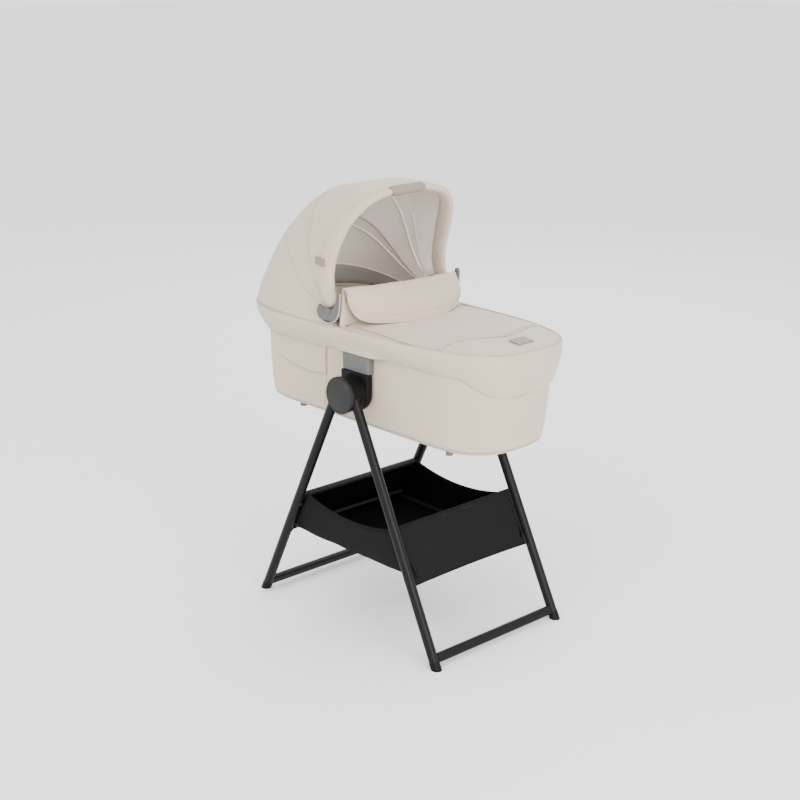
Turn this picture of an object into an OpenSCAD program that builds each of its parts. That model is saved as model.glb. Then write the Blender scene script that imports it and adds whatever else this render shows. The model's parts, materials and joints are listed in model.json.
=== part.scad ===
// Bassinet on a folding A-frame stand.
// Frame: +Z up, +X towards the foot end, +Y to the sleeper's left.
// The origin is on the floor, midway between the four feet.

/* [Stand] */
// Distance between the front and the rear feet
foot_spread = 669; // [600:1:720]
// Distance between the left and the right leg axes at the floor
foot_track = 430; // [420:1:440]
// Distance between the left and the right leg axes where they would meet
top_track = 417; // [410:1:430]
// Height at which the front and rear leg axes would meet
apex_z = 688; // [670:1:710]
// Leg tube diameter
leg_d = 25; // [22:0.5:26]
// Leg tube wall
leg_wall = 1.5; // [1:0.1:2]
// Height of the folding hub above the floor
hub_z = 625; // [615:1:635]
// Diameter of the round hub
hub_d = 95; // [90:1:98]
// Height of the floor bars' centre line
floor_bar_z = 23; // [20:1:30]

/* [Basket] */
// Height of the basket floor
basket_z = 198; // [190:1:205]
// Height of the front panel's top edge
basket_top_z = 320; // [300:1:330]
// Thickness of the basket cloth
basket_cloth = 3; // [2:0.5:4]
// How far the side panels' top edges sag
basket_sag = 26; // [10:1:40]

/* [Carrycot] */
// Underside of the carrycot
cot_z = 529; // [525:1:540]
// Height of the rim
rim_z = 784; // [770:1:795]
// Half the width of the body
body_half_w = 156; // [154:1:160]
// How much shorter the body's bottom is at the foot end
foot_taper = 20; // [0:1:30]
// How much shorter the body's bottom is at the head end
head_taper = 10; // [0:1:20]
// How much narrower the body's bottom is on each side
side_taper = 5; // [0:1:8]
// Foot-end tip of the body
body_foot_x = 418; // [412:1:425]
// Head-end tip of the body
body_head_x = 420; // [410:1:430]
// Half the width of the rim
rim_half_w = 206; // [200:1:212]
// Foot-end tip of the rim
rim_foot_x = 445; // [440:1:450]
// Head-end tip of the rim
rim_head_x = 456; // [445:1:458]
// Lower edge of the skirt
skirt_z = 716; // [705:1:725]
// Thickness of the padded wall
wall_t = 5; // [4:0.5:6]
// Mattress thickness
mattress_t = 28; // [20:1:35]

/* [Canopy] */
// Pivot axis, towards the foot end
pivot_x = -68; // [-72:1:-64]
// Pivot axis, height
pivot_z = 822; // [818:1:830]
// Handle height above the pivot
handle_r = 295.7; // [290:0.1:300]
// Half the distance between the handle's legs
handle_half_w = 200; // [198:0.5:201]
// Length of the carrying grip
grip_len = 108; // [90:1:120]

/* [Hidden] */
$fn = 48;

// Clearance of a turning fit and of a glued or pressed joint
run = 0.05;
seat = 0.05;
// Gap kept between parts that must not touch
gap = 0.3;

charcoal = [0.19, 0.19, 0.2];
black = [0.08, 0.08, 0.08];
oyster = [0.82, 0.79, 0.75];
pale = [0.82, 0.8, 0.78];
grey = [0.54, 0.54, 0.53];
tan = [0.73, 0.69, 0.65];
steel = [0.6, 0.6, 0.62];

leg_r = leg_d / 2;
hub_r = hub_d / 2;

// ---------- helpers ----------

function unit(v) = v / norm(v);
function mix(a, b, s) = a * (1 - s) + b * s;
// Signed power that makes a superellipse of exponent n
function se(v, n) = sign(v) * pow(abs(v), 2 / n);

// Places children so that their Z axis runs from p towards q
module aim(p, q) {
    v = q - p;
    translate(p) rotate([0, acos(v.z / norm(v)), atan2(v.y, v.x)]) children();
}

// The left version as drawn, or the right version as its mirror image
module on_side(s) {
    mirror([0, s > 0 ? 0 : 1, 0]) children();
}

// Puts a shape drawn in X and Z upright, so that it runs from y0 to y1
module upright(y0, y1) {
    translate([0, y1, 0]) rotate([90, 0, 0]) linear_extrude(y1 - y0) children();
}

// Closed solid between two grids of points with the same rows and columns
module sheet_solid(top, bottom) {
    rows = len(top);
    cols = len(top[0]);
    n = rows * cols;
    points = concat([for (r = top) for (p = r) p], [for (r = bottom) for (p = r) p]);
    function at(i, j) = i * cols + j;
    faces = concat(
        [for (i = [0 : rows - 2]) for (j = [0 : cols - 2]) each [
            [at(i, j), at(i + 1, j), at(i + 1, j + 1)], [at(i, j), at(i + 1, j + 1), at(i, j + 1)],
            [n + at(i, j), n + at(i + 1, j + 1), n + at(i + 1, j)],
            [n + at(i, j), n + at(i, j + 1), n + at(i + 1, j + 1)]]],
        [for (i = [0 : rows - 2]) each [
            [at(i, 0), n + at(i, 0), n + at(i + 1, 0)], [at(i, 0), n + at(i + 1, 0), at(i + 1, 0)],
            [at(i, cols - 1), n + at(i + 1, cols - 1), n + at(i, cols - 1)],
            [at(i, cols - 1), at(i + 1, cols - 1), n + at(i + 1, cols - 1)]]],
        [for (j = [0 : cols - 2]) each [
            [at(0, j), at(0, j + 1), n + at(0, j + 1)], [at(0, j), n + at(0, j + 1), n + at(0, j)],
            [at(rows - 1, j), n + at(rows - 1, j + 1), at(rows - 1, j + 1)],
            [at(rows - 1, j), n + at(rows - 1, j), n + at(rows - 1, j + 1)]]]);
    polyhedron(points, faces, convexity = 6);
}

// Tube of half-widths a (along ref) and b swept along a list of points
module sweep(path, a, b, ref, sides = 10) {
    last = len(path) - 1;
    rings = [for (i = [0 : last])
        let (t = unit(path[min(i + 1, last)] - path[max(i - 1, 0)]),
             side = unit(cross(t, ref)),
             across = cross(side, t))
        [for (k = [0 : sides - 1]) path[i] + across * a * cos(360 * k / sides)
                                           - side * b * sin(360 * k / sides)]];
    points = [for (r = rings) for (p = r) p];
    faces = concat(
        [for (i = [0 : last - 1]) for (k = [0 : sides - 1]) let (m = (k + 1) % sides)
            each [[i * sides + k, i * sides + m, (i + 1) * sides + m],
                  [i * sides + k, (i + 1) * sides + m, (i + 1) * sides + k]]],
        [[for (k = [sides - 1 : -1 : 0]) k], [for (k = [0 : sides - 1]) last * sides + k]]);
    polyhedron(points, faces, convexity = 6);
}

// ---------- stand geometry ----------

leg_slope = (foot_spread / 2) / apex_z;
leg_length = norm([foot_spread / 2, (foot_track - top_track) / 2, apex_z]);
leg_angle = atan(leg_slope);
// Distance up the leg to its closest point to the hub's centre, and the tube's two ends
leg_near_hub = leg_length - (apex_z - hub_z) * cos(leg_angle);
leg_start = 20;
leg_end = leg_near_hub + 14;

// f is 1 for the front legs and -1 for the rear, s is 1 for left and -1 for right
function leg_y(z) = mix(foot_track / 2, top_track / 2, z / apex_z);
function leg_point(f, s, z) = [f * (apex_z - z) * leg_slope, s * leg_y(z), z];
function leg_foot(f, s) = leg_point(f, s, 0);
function leg_apex(f, s) = leg_point(f, s, apex_z);

module leg(f, s) {
    color(charcoal) aim(leg_foot(f, s), leg_apex(f, s)) translate([0, 0, leg_start])
        difference() {
            cylinder(h = leg_end - leg_start, r = leg_r);
            translate([0, 0, -1]) cylinder(h = leg_end - leg_start + 2, r = leg_r - leg_wall);
        }
}

// Solid cylinder that stands for a leg when something is cut to fit round it
module leg_space(f, s, r) {
    aim(leg_foot(f, s), leg_apex(f, s)) translate([0, 0, -20]) cylinder(h = leg_end + 20.5, r = r);
}

// Plug in the foot of one leg, cut level with the floor
module foot_cap(f, s) {
    intersection() {
        aim(leg_foot(f, s), leg_apex(f, s)) union() {
            translate([0, 0, -20]) cylinder(h = 20 + leg_start - seat, r = leg_r + 0.8);
            cylinder(h = leg_start + 18, r = leg_r - leg_wall - seat);
        }
        translate([-500, -300, 0]) cube([1000, 600, 100]);
    }
}

module foot_caps(f) {
    color(black) for (s = [-1, 1]) foot_cap(f, s);
}

floor_bar_h = 24;
floor_bar_t = 18;
floor_bar_r = 6;

// Rounded rectangle about the origin
module rounded_rect(w, h, r) {
    square([w - 2 * r, h], center = true);
    square([w, h - 2 * r], center = true);
    for (x = [-1, 1], y = [-1, 1]) translate([x * (w / 2 - r), y * (h / 2 - r)]) circle(r);
}

// Bar between the left and right legs, just above the feet
module floor_bar(f) {
    p = leg_point(f, 1, floor_bar_z);
    color(charcoal) difference() {
        translate([p.x, 0, p.z]) rotate([0, -f * leg_angle, 0]) rotate([90, 0, 0])
            linear_extrude(2 * p.y, center = true) rounded_rect(floor_bar_t, floor_bar_h, floor_bar_r);
        for (s = [-1, 1]) leg_space(f, s, leg_r + 0.9);
    }
}

// ---------- hub ----------

// Layers of the hub, outwards from the carrycot
adaptor_y = 163;
inner_y = 182;
ring_y = 195.5;
cap_y = 222.5;
hub_out_y = 234;
hub_pin_r = 8;

// Sector of a disc between two angles, about the hub's centre
module sector(r, a0, a1) {
    steps = 12;
    intersection() {
        circle(r);
        polygon(concat([[0, 0]], [for (i = [0 : steps])
            2 * r * [cos(mix(a0, a1, i / steps)), sin(mix(a0, a1, i / steps))]]));
    }
}

module at_hub() {
    translate([0, 0, hub_z]) children();
}

// Half of the hub that holds the front leg and carries the adaptor
module hub_inner(s) {
    color(black) difference() {
        on_side(s) at_hub() {
            upright(inner_y + gap / 2, ring_y) circle(hub_r - 1);
            upright(ring_y - 1, cap_y - gap) difference() {
                sector(hub_r - 2, -65, 108);
                circle(hub_pin_r + 3);
            }
        }
        on_side(s) at_hub() upright(inner_y - 1, ring_y + 1) circle(hub_pin_r + seat);
        leg_space(1, s, leg_r + seat);
    }
}

// Half of the hub that holds the rear leg; it turns on the hub pin
module hub_outer(s) {
    color(charcoal) difference() {
        on_side(s) at_hub() {
            upright(ring_y + gap, cap_y + 1) difference() {
                sector(hub_r - 2, 122, 238);
                circle(hub_pin_r + 3);
            }
            upright(cap_y, hub_out_y - 3) circle(hub_r);
            translate([0, hub_out_y - 3, 0]) rotate([-90, 0, 0]) cylinder(h = 3, r1 = hub_r, r2 = hub_r - 3, $fn = 96);
        }
        on_side(s) at_hub() upright(cap_y - 1, hub_out_y - 1.5) circle(hub_pin_r + run);
        on_side(s) at_hub() upright(hub_out_y - 1.5, hub_out_y + 1) circle(hub_r - 5);
        leg_space(-1, s, leg_r + seat);
    }
}

// Plain disc that covers the end of the hub pin
module hub_cover(s) {
    color(charcoal) on_side(s) at_hub() upright(hub_out_y - 1.5 + seat, hub_out_y + 0.5) circle(hub_r - 5 - seat);
}

module hub_pin(s) {
    color(steel) on_side(s) at_hub() upright(inner_y + gap / 2, hub_out_y - 1.5 - seat) circle(hub_pin_r);
}

adaptor_half_w = 49;
adaptor_top_z = 676;
adaptor_mid_z = adaptor_top_z - adaptor_half_w - 1;
tongue_half_w = 32;
tongue_t = 8;
tongue_h = 30;

// Bracket inboard of the hub, with the tongue that the carrycot drops onto
module adaptor(s) {
    color(black) on_side(s) {
        upright(adaptor_y, inner_y) {
            translate([0, adaptor_mid_z]) circle(adaptor_half_w);
            translate([-adaptor_half_w, adaptor_mid_z]) square([2 * adaptor_half_w, adaptor_top_z - adaptor_mid_z]);
        }
        translate([0, adaptor_y + 1.6, adaptor_top_z - 1]) upright(0, tongue_t) {
            translate([-tongue_half_w, 0]) square([2 * tongue_half_w, tongue_h - 5]);
            translate([-tongue_half_w + 6, 0]) square([2 * (tongue_half_w - 6), tongue_h]);
        }
    }
}

// ---------- basket ----------

rod_r = 5;
rear_bar_r = 8;
basket_half_w = basket_half_at(basket_top_z);
function basket_half_at(z) = leg_y(z) - leg_r - 1.5;
function leg_x(z) = (apex_z - z) * leg_slope;

// Flat cloth panel between two legs, in the plane of the legs
module end_panel(f, z0, z1) {
    half = basket_half_w - 0.5;
    on_front(f) rotate([90, 0, 0]) linear_extrude(2 * half, center = true)
        polygon([[leg_x(z0) - basket_cloth, z0], [leg_x(z0), z0], [leg_x(z1), z1], [leg_x(z1) - basket_cloth, z1]]);
}

// The front version as drawn, or the rear version as its mirror image
module on_front(f) {
    mirror([f > 0 ? 0 : 1, 0, 0]) children();
}

// Rod between two legs, hidden inside the panel's hem
module rod(f, z, r, inset) {
    half = leg_y(z) - leg_r - 0.6;
    on_front(f) translate([leg_x(z) - inset, 0, z]) rotate([90, 0, 0]) cylinder(h = 2 * half, r = r, center = true);
}

front_rod_inset = basket_cloth + rod_r + 1.6;
rear_panel_top_z = basket_top_z - 24;

module basket_front_panel() {
    color(charcoal) end_panel(1, basket_z - 10, basket_top_z);
}

module basket_front_rods() {
    color(steel) {
        rod(1, basket_top_z - 10, rod_r, front_rod_inset);
        rod(1, basket_z + 12, rod_r, front_rod_inset);
    }
}

module basket_rear_panel() {
    color(charcoal) end_panel(-1, basket_z - 4, rear_panel_top_z);
}

module basket_rear_rods() {
    color(charcoal) {
        rod(-1, rear_panel_top_z + rear_bar_r + 2, rear_bar_r, 0);
        rod(-1, basket_z + 12, rod_r, front_rod_inset);
    }
}

screw_r = 4.5;

// Round-headed screws that fix the rods to the insides of the legs
module screws(f, tops) {
    color(steel) for (s = [-1, 1], z = tops)
        let (reach = leg_r + 0.2)
        translate(leg_point(f, s, z) - reach * [f * cos(leg_angle), 0, sin(leg_angle)])
            rotate([0, -f * (90 + leg_angle), 0]) cylinder(h = 3, r = screw_r);
}

// Floor and two side panels of the cloth tub
module basket_body() {
    half = basket_half_w - 2;
    x0 = leg_x(basket_z) - basket_cloth - front_rod_inset - rod_r;
    x1 = leg_x(basket_top_z) - basket_cloth - front_rod_inset - rod_r;
    top = basket_top_z - 14;
    steps = 12;
    rim = [for (i = [0 : steps]) let (u = i / steps * 2 - 1) [u * x1, top - basket_sag * (1 - u * u)]];
    color(black) {
        for (s = [-1, 1]) on_side(s) upright(half - basket_cloth, half)
            polygon(concat([[-x0, basket_z]], rim, [[x0, basket_z]]));
        translate([-x0, -half, basket_z]) cube([2 * x0, 2 * half, basket_cloth]);
    }
}

// ---------- carrycot outlines ----------

// Plan outline: superelliptic ends joined by straight or gently curved sides
function half_end(x_mid, x_tip, w, n, t0, t1, steps) =
    [for (i = [0 : steps]) let (t = mix(t0, t1, i / steps))
        [x_mid + (x_tip - x_mid) * se(abs(cos(t)), n), w * se(sin(t), n)]];

function plan(foot, head, w, mid_foot, mid_head, n_foot, n_head) =
    concat(half_end(mid_foot, foot, w, n_foot, -88, 88, 22),
           [for (p = half_end(-mid_head, -head, w, n_head, 88, -88, 22)) p]);

function body_outline(inset, low = 0) =
    plan(body_foot_x - foot_taper * low - inset, body_head_x - head_taper * low - inset,
         body_half_w - side_taper * low - inset, 235, 235, 2.6, 4.2);

module body_plan(inset = 0, low = 0) {
    polygon(body_outline(inset, low));
}

module rim_plan(inset = 0) {
    polygon(plan(rim_foot_x - inset, rim_head_x - inset, rim_half_w - inset, -120, 140, 3.3, 3.6));
}

module slab(z, h = 0.4) {
    translate([0, 0, z]) linear_extrude(h) children();
}

edge_r = 12;
body_z = cot_z + 6;
body_top_z = 768;
taper_top_z = 676;

// Closed outline of the body at a height, in space
function body_ring(z, inset) =
    let (low = max(0, (taper_top_z - z) / (taper_top_z - body_z)))
    [for (p = body_outline(inset, low)) [p.x, p.y, z]];

// Closed solid through rings of the same number of points, with flat ends
module loft(rings) {
    n = len(rings[0]);
    last = len(rings) - 1;
    faces = concat(
        [for (i = [0 : last - 1]) for (k = [0 : n - 1]) let (m = (k + 1) % n)
            each [[i * n + k, (i + 1) * n + k, (i + 1) * n + m],
                  [i * n + k, (i + 1) * n + m, i * n + m]]],
        [[for (k = [0 : n - 1]) k], [for (k = [n - 1 : -1 : 0]) last * n + k]]);
    polyhedron([for (r = rings) for (p = r) p], faces, convexity = 8);
}

// Rings of the body's wall from its rounded bottom edge up
function wall_rings(z, inset) =
    [body_ring(z, inset + edge_r), body_ring(z + edge_r * 0.134, inset + edge_r / 2),
     body_ring(z + edge_r / 2, inset + edge_r * 0.134), body_ring(z + edge_r, inset),
     body_ring(taper_top_z, inset), body_ring(body_top_z, inset)];

// Padded tub: up the outside, over the top edge and down the inside
module cot_shell() {
    inner = wall_rings(body_z + wall_t, wall_t);
    color(oyster) loft(concat(wall_rings(body_z, 0), [for (i = [len(inner) - 1 : -1 : 0]) inner[i]]));
}

lining_t = 2;
mattress_z = body_z + wall_t + gap;
lining_z = mattress_z + edge_r;

function lining_rings(z0, z1, inset) = [body_ring(z0, inset), body_ring(taper_top_z, inset), body_ring(z1, inset)];

module lining() {
    color(pale) difference() {
        loft(lining_rings(lining_z, body_top_z - 2, wall_t + gap));
        loft(lining_rings(lining_z - 1, body_top_z, wall_t + gap + lining_t));
    }
}

module mattress() {
    color(pale) slab(mattress_z, mattress_t) body_plan(wall_t + edge_r + lining_t, 1);
}

module base_tray() {
    color(oyster) slab(cot_z, 6 - gap / 2) body_plan(edge_r, 1);
}

cot_foot_h = 9;

module cot_feet() {
    color(grey) for (x = [-262, 285], s = [-1, 1])
        translate([x, s * (body_half_w - side_taper - edge_r - 10), cot_z - cot_foot_h]) cylinder(h = cot_foot_h - gap / 2, r = 9);
}

rim_frame_h = 14;

module rim_frame() {
    color(grey) difference() {
        slab(rim_z - 20, rim_frame_h) rim_plan(8);
        slab(rim_z - 21, rim_frame_h + 2) rim_plan(20);
    }
}

skirt_t = 3;

// Band of cloth that hangs from the rim and is drawn in against the body
module skirt() {
    color(oyster) difference() {
        hull() {
            slab(skirt_z) body_plan(-skirt_t - gap);
            slab(skirt_z + 36) rim_plan(9);
            slab(rim_z - 12) rim_plan(0);
            slab(rim_z - 2) rim_plan(2);
        }
        hull() {
            slab(skirt_z - 1) body_plan(-gap);
            slab(skirt_z + 36) rim_plan(9 + skirt_t);
            slab(rim_z - 14) rim_plan(skirt_t);
            slab(rim_z - 1) rim_plan(skirt_t + 2);
        }
        slab(rim_z - 3, 5) rim_plan(skirt_t + 2);
        for (s = [-1, 1]) on_side(s) upright(body_half_w - 1, adaptor_y + 20)
            translate([-adaptor_half_w - 1, skirt_z - 5]) square([2 * adaptor_half_w + 2, receiver_top_z - skirt_z + 6]);
    }
}

apron_x = 10;
apron_crown = 14;
apron_t = 4;

module apron_dome(z, inset) {
    hull() {
        slab(z) rim_plan(inset);
        slab(z + apron_crown * 0.7) rim_plan(inset + 34);
        slab(z + apron_crown) rim_plan(inset + 90);
    }
}

// Foot cover, slightly crowned
module apron() {
    color(oyster) difference() {
        intersection() {
            apron_dome(rim_z - 1.6, 1);
            translate([apron_x, -250, 700]) cube([500, 500, 200]);
        }
        apron_dome(rim_z - 1.6 - apron_t, 5);
        slab(rim_z - 4, 2.6) rim_plan(9);
    }
}

apron_top_z = rim_z - 1.6 + apron_crown;
label_x = 380;        // middle of the patch, towards the foot
label_y = 11;         // and across

module label_patch() {
    color(tan) translate([label_x - 20, label_y - 27, apron_top_z + 0.5]) cube([40, 54, 1.6]);
}

zip_w = 5;
zip_x = 284;          // where the zip lies near its ends
zip_swing = 40;       // how far its middle swings towards the foot
zip_half = 105;

// Zip that lets the foot cover open, laid on its near flat top
module zip_chain() {
    steps = 14;
    function swing(y) = zip_swing * pow(max(0, cos(0.8 * (y - 24))), 3);
    line = [for (i = [0 : steps]) let (y = (2 * i / steps - 1) * zip_half) [zip_x + swing(y), y]];
    color(oyster) translate([0, 0, apron_top_z + 0.5]) linear_extrude(2)
        polygon(concat(line, [for (i = [steps : -1 : 0]) line[i] + [zip_w, 0]]));
}

module zip_sliders() {
    color(steel) for (s = [-1, 1])
        translate([zip_x + 0.5, s * (zip_half + 4) - 3, apron_top_z + 0.6]) cube([6, 6, 3.5]);
}

receiver_y = 178;
receiver_top_z = 742;

// Socket on the side of the carrycot that drops over the adaptor's tongue
module receiver(s) {
    r = 7;
    color(grey) on_side(s) difference() {
        union() {
            translate([-adaptor_half_w, body_half_w + gap / 2, adaptor_top_z + gap])
                cube([2 * adaptor_half_w, receiver_y - r - body_half_w, receiver_top_z - adaptor_top_z - gap]);
            translate([-adaptor_half_w + r, receiver_y - r, adaptor_top_z + gap])
                cube([2 * (adaptor_half_w - r), r, receiver_top_z - adaptor_top_z - gap]);
            for (x = [-1, 1]) translate([x * (adaptor_half_w - r), receiver_y - r, adaptor_top_z + gap])
                cylinder(h = receiver_top_z - adaptor_top_z - gap, r = r);
        }
        translate([-tongue_half_w - 0.6, adaptor_y + 1, adaptor_top_z - 1])
            cube([2 * tongue_half_w + 1.2, tongue_t + 1.2, tongue_h + 2]);
    }
}

// ---------- canopy pivots ----------

housing_in_y = 171;
rear_tab_y = 174.5;
mid_tab_y = 177.5;
fork_y = 181;
fork_end_y = 198;
housing_y = 198.5;
housing_out_y = 207;
pivot_r = 4;
housing_r = 28;
arm_x = 33;
arm_w = 14;
arm_h = 56;
button_r = 9;
button_travel = 3;

module at_pivot() {
    translate([pivot_x, 0, pivot_z]) children();
}

// J-shaped outline of the housing: a disc with an upright arm in front of it
module j_outline() {
    circle(housing_r);
    translate([0, -housing_r]) square([arm_x + arm_w, 24]);
    translate([arm_x, -housing_r]) square([arm_w, housing_r + arm_h - arm_w / 2]);
    translate([arm_x + arm_w / 2, arm_h - arm_w / 2]) circle(arm_w / 2);
}

module pivot_housing(s) {
    color(grey) on_side(s) at_pivot() difference() {
        union() {
            upright(housing_y, housing_out_y) j_outline();
            upright(housing_in_y, rear_tab_y - gap) circle(16);
            upright(housing_in_y, housing_out_y) translate([-16, -housing_r]) square([arm_x + arm_w + 16, 6]);
            upright(housing_in_y, rear_tab_y - gap) translate([-16, -housing_r]) square([32, housing_r]);
        }
        upright(housing_y - 1, housing_out_y + 1) circle(button_r + run);
        upright(housing_in_y - 1, rear_tab_y + 1) circle(pivot_r + seat);
    }
}

module pivot_pin(s) {
    color(steel) on_side(s) at_pivot() upright(housing_in_y, fork_end_y - 1) circle(pivot_r);
}

module pivot_button(s) {
    color(grey) on_side(s) at_pivot() upright(housing_out_y - 6, housing_out_y + 1.5) circle(button_r);
}

// ---------- canopy bows ----------

pinch = 11;           // how far the bows' feet draw in towards the pivots
pinch_left = 0.85;    // share of it that is left where the inner bows meet their eyes
sweep_power = 1.6;    // how late a bow's extra sweep sets in

// A bow is [angle, extra sweep at its foot, radius, half width, exponent], seen from the pivot axis
handle_bow = [77.3, 46, handle_r, handle_half_w, 3.4];
mid_bow_shape = [109.5, 50, 298, (mid_tab_y + fork_y) / 2 + pinch * pinch_left, 4];
rear_bow_shape = [144.6, 38, 318.5, (rear_tab_y + mid_tab_y) / 2 + pinch * pinch_left, 3.2];
rim_bow = [185, 0, rim_head_x + pivot_x - 4, rim_half_w - 4, 3.6];

// Point of a bow at t from -1 (right pivot) over the top to 1 (left pivot)
function bow_point(b, t, inset = 0) =
    let (r = b[2] * se(cos(90 * t), b[4]),
         foot = 1 - r / b[2],
         y = (b[3] - inset - pinch * foot) * se(sin(90 * t), b[4]),
         a = b[0] + b[1] * pow(foot, sweep_power),
         k = (b[2] - inset) / b[2])
    [pivot_x + r * k * cos(a), y, pivot_z + r * k * sin(a)];

// Even steps along t, thickened near the corners; low is how close to the pivot a bow starts
function bow_path(b, low, steps, inset = 0) =
    [for (i = [0 : steps]) bow_point(b, (2 * i / steps - 1) * low, inset)];

function bow_normal(b) = [sin(b[0]), 0, -cos(b[0])];

bow_r = 3;
bow_low = 0.985;

// Thin steel bow sewn into a canopy seam, with a flat eye at each pivot
module inner_bow(b, y0, y1) {
    path = bow_path(b, bow_low, 30);
    color(steel) {
        sweep(path, bow_r, (y1 - y0) / 2, bow_normal(b), 8);
        for (s = [-1, 1]) on_side(s) difference() {
            upright(y0, y1) hull() {
                translate([pivot_x, pivot_z]) circle(9);
                translate([path[0].x, path[0].z]) circle(4);
            }
            at_pivot() upright(y0 - 1, y1 + 1) circle(pivot_r + run);
        }
    }
}

module rear_bow() {
    inner_bow(rear_bow_shape, rear_tab_y, mid_tab_y - gap);
}

module mid_bow() {
    inner_bow(mid_bow_shape, mid_tab_y, fork_y - gap - 0.2);
}

cloth_t = 3;

// Cloth between two bows, from s0 to s1 of the way
module canopy_panel(b0, b1, s0, s1, low) {
    rows = 6;
    cols = 26;
    function grid(inset) = [for (i = [0 : rows]) let (b = mix(b0, b1, mix(s0, s1, i / rows)))
        bow_path(b, low, cols, inset)];
    color(oyster) sheet_solid(grid(0), grid(cloth_t));
}

module canopy_rear_panel() {
    canopy_panel(rear_bow_shape, rim_bow, 0.08, 1, 0.9);
}

module canopy_middle_panel() {
    canopy_panel(mid_bow_shape, rear_bow_shape, 0.08, 0.92, 0.9);
}

module canopy_front_panel() {
    canopy_panel(handle_bow, mid_bow_shape, 0.27, 0.92, 0.82);
}

handle_tube_r = 7;
sleeve_a = 17;
sleeve_b = 8.4;

module handle_tube() {
    path = bow_path(handle_bow, bow_low, 36);
    color(steel) {
        sweep(path, handle_tube_r, handle_tube_r, [1, 0, 0], 10);
        for (s = [-1, 1]) on_side(s) difference() {
            upright(fork_y, fork_end_y) hull() {
                translate([pivot_x, pivot_z]) circle(19);
                translate([path[0].x, path[0].z]) circle(8);
            }
            at_pivot() upright(fork_y - 1, fork_end_y + 1) circle(pivot_r + run);
        }
    }
}

sleeve_low = 0.972;

// Padded cloth sleeve on the handle, open where the grip sits
module handle_sleeve() {
    color(oyster) difference() {
        sweep(bow_path(handle_bow, sleeve_low, 34), sleeve_a, sleeve_b, [1, 0, 0], 14);
        sweep(bow_path(handle_bow, bow_low, 36), handle_tube_r + 0.3, handle_tube_r + 0.3, [1, 0, 0], 10);
        translate([-300, -grip_len / 2, pivot_z]) cube([600, grip_len, 400]);
    }
}

grip_r = 13;

module handle_grip() {
    top = bow_point(handle_bow, 0);
    color(tan) difference() {
        translate(top) rotate([90, 0, 0]) cylinder(h = grip_len - 0.6, r = grip_r, center = true);
        sweep(bow_path(handle_bow, bow_low, 36), handle_tube_r + 0.2, handle_tube_r + 0.2, [1, 0, 0], 10);
    }
}

stud_t = 0.918;
stud_ahead = 5;       // how far in front of the leg's middle the studs sit

// Press studs on the inside of the handle's legs
module handle_studs() {
    p = bow_point(handle_bow, stud_t);
    color(steel) for (s = [-1, 1]) on_side(s)
        translate([p.x + stud_ahead, p.y - sleeve_b - 2.6, p.z]) rotate([-90, 0, 0]) cylinder(h = 2.4, r = 5);
}

tab_t = 0.87;

// Small leatherette pull tabs behind the handle's legs
module pull_tabs() {
    p = bow_point(handle_bow, tab_t);
    color(tan) for (s = [-1, 1]) on_side(s)
        translate([p.x - sleeve_a - 27, p.y + 1, p.z - 8]) cube([24, 2, 20]);
}

// ---------- wind flap ----------

flap_half_w = 190;

// The flap stands up from the foot cover and folds over towards the foot at its crest.
// Each function gives one column of points for a share u of the half width.
function crown(u) = 1 - u * u;

function flap_front(u) =
    let (y = u * flap_half_w, c = crown(u))
    [[-22 + 4 * c, y, 798 + 12 * (1 - c)], [-26 + 14 * c, y, 840], [-28 + 22 * c, y, 871]];

function flap_back(u) =
    let (y = u * (flap_half_w - 1), c = crown(u))
    [[-16 + 4 * c, y, 798 + 12 * (1 - c)], [-20 + 14 * c, y, 840], [-21 + 22 * c, y, 864]];

function lobe_outside(u) =
    let (y = u * flap_half_w, c = crown(u))
    [[-20 + 30 * c, y, 873], [-14 + 60 * c, y, 858 - 12 * c], [-8 + 90 * c, y, 809 - 10 * c]];

function lobe_inside(u) =
    let (y = u * (flap_half_w - 1), c = crown(u))
    [[-18 + 26 * c, y, 866], [-16 + 56 * c, y, 852 - 12 * c], [-13 + 86 * c, y, 808 - 10 * c]];

flap_cols = 20;

module flap_base() {
    color(oyster) sheet_solid(
        [for (j = [0 : flap_cols]) flap_front(2 * j / flap_cols - 1)],
        [for (j = [0 : flap_cols]) flap_back(2 * j / flap_cols - 1)]);
}

module wind_flap() {
    color(oyster) sheet_solid(
        [for (j = [0 : flap_cols]) lobe_outside(2 * j / flap_cols - 1)],
        [for (j = [0 : flap_cols]) lobe_inside(2 * j / flap_cols - 1)]);
}

// ---------- nodes ----------

leg(1, -1);  // front_leg_right
leg(1, 1);  // front_leg_left
floor_bar(1);  // front_floor_bar
foot_caps(1);  // front_foot_caps
hub_inner(-1);  // hub_inner_right
hub_inner(1);  // hub_inner_left
hub_pin(-1);  // hub_pin_right
hub_pin(1);  // hub_pin_left
adaptor(-1);  // adaptor_right
adaptor(1);  // adaptor_left
basket_front_panel();
basket_front_rods();
screws(1, [basket_top_z - 10, basket_z + 8]);  // basket_front_screws
basket_body();
leg(-1, -1);  // rear_leg_right
leg(-1, 1);  // rear_leg_left
floor_bar(-1);  // rear_floor_bar
foot_caps(-1);  // rear_foot_caps
hub_outer(-1);  // hub_outer_right
hub_outer(1);  // hub_outer_left
hub_cover(-1);  // hub_cover_right
hub_cover(1);  // hub_cover_left
basket_rear_panel();
basket_rear_rods();
screws(-1, [rear_panel_top_z - 6, basket_z + 8]);  // basket_rear_screws
cot_shell();
lining();
mattress();
base_tray();
cot_feet();
rim_frame();
skirt();
apron();
label_patch();
zip_chain();
zip_sliders();
receiver(-1);  // receiver_right
receiver(1);  // receiver_left
pivot_housing(-1);  // pivot_housing_right
pivot_housing(1);  // pivot_housing_left
pivot_pin(-1);  // pivot_pin_right
pivot_pin(1);  // pivot_pin_left
pivot_button(-1);  // pivot_button_right
pivot_button(1);  // pivot_button_left
flap_base();
wind_flap();
canopy_rear_panel();
rear_bow();
canopy_middle_panel();
mid_bow();
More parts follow.
